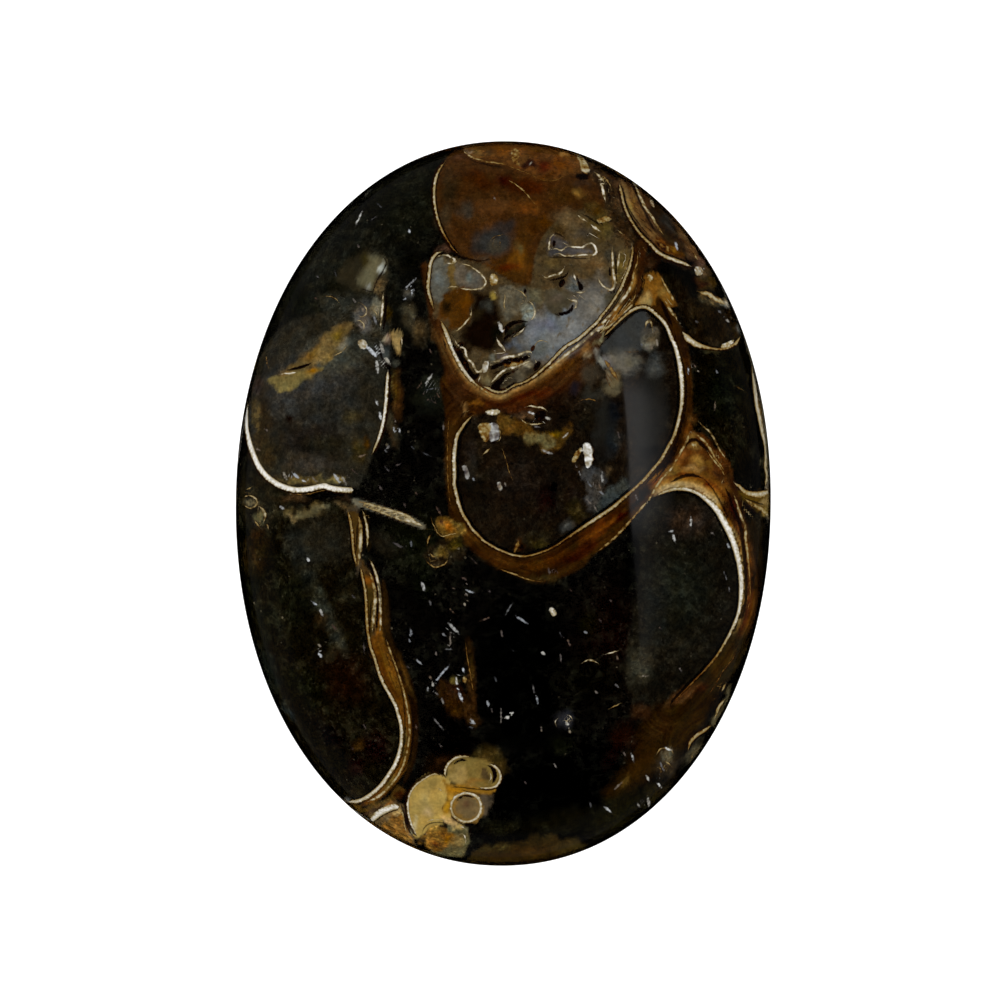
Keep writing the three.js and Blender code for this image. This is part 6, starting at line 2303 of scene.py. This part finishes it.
# %% Polished jasper
LIGHT_LEVEL = 1.6
RIM_SHADE = 0.5
RIM_SHADE_MM = 0.5
POLISHED, LAPPED = 0.05, 0.42
SILICA_IOR = 1.54
BACK_CLEAR_MM = 0.3
LAPPED_MM = 0.05


def polished_jasper():
    """Silicified mud and shell, cut and polished."""
    material = bpy.data.materials.new("polished_jasper")
    material.use_nodes = True
    tree = material.node_tree
    tree.nodes.clear()
    rock = rock_noise(tree)
    kinds = add(tree, "Attribute", attribute_name="texture").node
    shares = add(tree, "SeparateColor", {0: kinds.outputs["Color"]}).node
    mottle, cracks, bands = shares.outputs
    wall, gaps = split(tree, "walls"), split(tree, "wall_gaps")

    colour = add(tree, "Attribute", out="Vector", attribute_name="ground")
    colour = mottled(tree, rock, colour, mottle)
    colour = layered(tree, rock, colour, bands, gaps[2])
    colour = crackled(tree, rock, colour, cracks)
    colour = dusted(tree, rock, colour, kinds.outputs["Alpha"])
    colour = lined(tree, rock, colour)
    colour = walled(tree, rock, colour, wall, gaps)
    colour = chipped(tree, rock, colour)

    height = add(tree, "SeparateXYZ", {0: rock["mm"]}, out=2)
    # painted shade: the colour is multiplied down towards the rim and on the girdle, not lit darker
    painted_shade_over_rim = {0: height, 1: GIRDLE_TOP, 2: GIRDLE_TOP + RIM_SHADE_MM, 3: RIM_SHADE, 4: 1.0}
    rim = add(tree, "MapRange", painted_shade_over_rim, interpolation_type="SMOOTHSTEP")
    low_down = add(tree, "MapRange", {0: height, 1: 0.0, 2: BACK_CLEAR_MM, 3: 1.0, 4: 0.0})
    rim = add(tree, "Math", {0: rim, 1: low_down}, operation="MAXIMUM")
    rim = add(tree, "Math", {0: rim, 1: 1 / LIGHT_LEVEL}, operation="MULTIPLY")
    colour = add(tree, "VectorMath", {0: colour, "Scale": rim}, operation="SCALE")

    back = add(tree, "MapRange", {0: height, 1: 0.0, 2: LAPPED_MM, 3: LAPPED, 4: POLISHED})
    haze = add(tree, "MapRange", {0: rock["blotch"], 1: 0.3, 2: 0.7, 3: -0.015, 4: 0.03})
    roughness = add(tree, "Math", {0: back, 1: haze}, operation="ADD")
    surface = add(tree, "BsdfPrincipled", {"Base Color": colour, "Roughness": roughness, "IOR": SILICA_IOR})
    add(tree, "OutputMaterial", {"Surface": surface})
    print(len(tree.nodes), "nodes in the stone's material")
    return material


mesh.materials.append(polished_jasper())

# %% [markdown]
# ## Studio
# The stone lies on a lit white table in even light from all round, as in a light tent, so it throws no
# shadow that shows. If the whole tent were mirrored in the polish, it would wash out the dark mud, so the
# reflections come from panels of their own, which only mirror rays see: a window to the right, which shows
# as a faint grey veil with a straight edge down the dome, and the tent's dim wall, which shows at the rim.
# The table lies a hair below the stone, so the two flat faces don't fight, and it is clear from below, so the
# stone's back can be looked at through it.

# %% Light tent and floor
world = bpy.data.worlds.new("light_tent")
world.use_nodes = True
world.node_tree.nodes["Background"].inputs["Color"].default_value = (1.0, 1.0, 1.0, 1.0)
world.node_tree.nodes["Background"].inputs["Strength"].default_value = LIGHT_LEVEL
world.cycles_visibility.glossy = False
bpy.context.scene.world = world

FLOOR_SIZE = 1.2
FLOOR_GAP = 0.00005
PAPER_LIGHT = (0.4, 0.4, 0.4, 1.0)
table = bpy.data.meshes.new("light_table")
corner = FLOOR_SIZE / 2
corners = [(-corner, -corner, 0), (corner, -corner, 0), (corner, corner, 0), (-corner, corner, 0)]
table.from_pydata(corners, [], [(0, 1, 2, 3)])
floor = bpy.data.objects.new("light_table", table)
bpy.context.collection.objects.link(floor)
paper = bpy.data.materials.new("matt_white_acrylic")
paper.use_nodes = True
acrylic = paper.node_tree.nodes["Principled BSDF"].inputs
acrylic["Base Color"].default_value = PAPER_LIGHT
acrylic["Roughness"].default_value = 0.9
acrylic["Emission Color"].default_value = (1.0, 1.0, 1.0, 1.0)
acrylic["Emission Strength"].default_value = 1.0
table.materials.append(paper)
top_side = paper.node_tree.nodes["Principled BSDF"].outputs["BSDF"]
from_below = add(paper.node_tree, "NewGeometry", out="Backfacing")
clear = add(paper.node_tree, "BsdfTransparent", out="BSDF")
one_sided = add(paper.node_tree, "MixShader", {0: from_below, 1: top_side, 2: clear}, out="Shader")
paper.node_tree.links.new(one_sided, paper.node_tree.nodes["Material Output"].inputs["Surface"])
floor.location.z = -FLOOR_GAP
floor.visible_glossy = False

# %% [markdown]
# Each panel is a grid of points with a brightness kept at every one of them, so it can fade across.

# %% Panels for the reflections


def glowing(name, grid, glow):
    """A surface on a grid of points, (rows, columns, 3) in metres, that only mirror rays see, with its
    brightness (rows, columns) given at the points."""
    rows, columns = glow.shape
    numbers = np.arange(rows * columns).reshape(rows, columns)
    corners = [numbers[:-1, :-1], numbers[:-1, 1:], numbers[1:, 1:], numbers[1:, :-1]]
    panel = bpy.data.meshes.new(name)
    panel.from_pydata(grid.reshape(-1, 3).tolist(), [], np.stack(corners, -1).reshape(-1, 4).tolist())
    attribute = panel.attributes.new("glow", "FLOAT", "POINT")
    attribute.data.foreach_set("value", glow.astype(np.float32).ravel())
    light = bpy.data.materials.new(name)
    light.use_nodes = True
    light.node_tree.nodes.clear()
    strength = add(light.node_tree, "Attribute", out="Fac", attribute_name="glow")
    emission = add(light.node_tree, "Emission", {"Strength": strength})
    add(light.node_tree, "OutputMaterial", {"Surface": emission})
    panel.materials.append(light)
    piece = bpy.data.objects.new(name, panel)
    piece.visible_camera = piece.visible_diffuse = piece.visible_shadow = False
    piece.visible_transmission = piece.visible_volume_scatter = False
    bpy.context.collection.objects.link(piece)


# %% [markdown]
# The window's near edge draws the veil's border on the dome, so it is given as a line, and its glow along
# and across that line was matched to the veil. The tent's wall is a zone of a sphere round the stone.

# %% Window and tent wall
WINDOW_HEIGHT = 0.40
WINDOW_FAR_SIDE = 0.342
WINDOW_EDGE = [(-0.21, 0.285), (-0.05, 0.214), (0.0, 0.198), (0.1, 0.194), (0.25, 0.194)]
WINDOW_GLOW = [(-0.21, 0.0), (-0.19, 0.12), (-0.03, 0.13), (0.0, 0.6), (0.1, 0.65), (0.13, 0.12), (0.25, 0.0)]
WINDOW_FADE = [(0.0, 1.0), (0.2, 0.95), (0.5, 0.4), (0.8, 0.14), (1.0, 0.0)]
WINDOW_ROWS, WINDOW_COLUMNS = 47, 13
along_window = np.linspace(WINDOW_EDGE[0][0], WINDOW_EDGE[-1][0], WINDOW_ROWS)[:, None]
over_window = np.linspace(0, 1, WINDOW_COLUMNS)[None, :]
near_side = np.interp(along_window, *np.transpose(WINDOW_EDGE))
window_x = near_side + over_window * (WINDOW_FAR_SIDE - near_side)
window_y = along_window + 0 * over_window
window = np.stack([window_x, window_y, np.full_like(window_x, WINDOW_HEIGHT)], -1)
window_fade = np.interp(over_window, *np.transpose(WINDOW_FADE))
window_glow = np.interp(along_window, *np.transpose(WINDOW_GLOW)) * window_fade
glowing("right_window", window, window_glow)

WALL_RADIUS = 0.5
WALL_GLOW = [(70, 0.0), (76, 0.025), (96, 0.025), (102, 0.035), (116, 0.035), (120, 0.0)]
WALL_ROWS, WALL_COLUMNS = 26, 73
DIMMER_RIGHT = 0.15
polar = np.radians(np.linspace(WALL_GLOW[0][0], WALL_GLOW[-1][0], WALL_ROWS))[:, None]
round_tent = np.linspace(0, 2 * math.pi, WALL_COLUMNS)[None, :]
wall_glow = np.interp(np.degrees(polar), *np.transpose(WALL_GLOW)) * (1 - DIMMER_RIGHT * np.cos(round_tent))
tent_wall = np.stack([
    WALL_RADIUS * np.cos(round_tent) + 0 * polar,
    WALL_RADIUS * np.sin(round_tent) + 0 * polar,
    WALL_RADIUS / np.tan(polar) + 0 * round_tent,
], -1)
glowing("tent_wall", tent_wall, wall_glow)

# %% [markdown]
# ## Camera
# The photograph looks straight down at the stone, which lies turned by two thirds of a degree and a little
# right of and below the middle. A long lens from 42 cm up keeps the view nearly parallel.

# %% Camera
SENSOR = 36.0
IMAGE_PX = 1000
view_width = IMAGE_PX / PIXELS_PER_MM
lens = bpy.data.cameras.new("straight_down")
lens.sensor_width = SENSOR
lens.lens = SENSOR * CAMERA_HEIGHT / view_width
lens.clip_start, lens.clip_end = 0.01, 5.0
camera = bpy.data.objects.new("straight_down", lens)
off_x = (IMAGE_PX / 2 - MIDDLE_PX[0]) / PIXELS_PER_MM
off_y = (MIDDLE_PX[1] - IMAGE_PX / 2) / PIXELS_PER_MM
camera.location = (
    (off_x * math.cos(TURN) - off_y * math.sin(TURN)) * MM,
    (off_x * math.sin(TURN) + off_y * math.cos(TURN)) * MM,
    (BEVEL + CAMERA_HEIGHT) * MM,
)
camera.rotation_euler = Euler((0, 0, TURN))
bpy.context.collection.objects.link(camera)
bpy.context.scene.camera = camera
bpy.context.scene.view_settings.view_transform = "Standard"
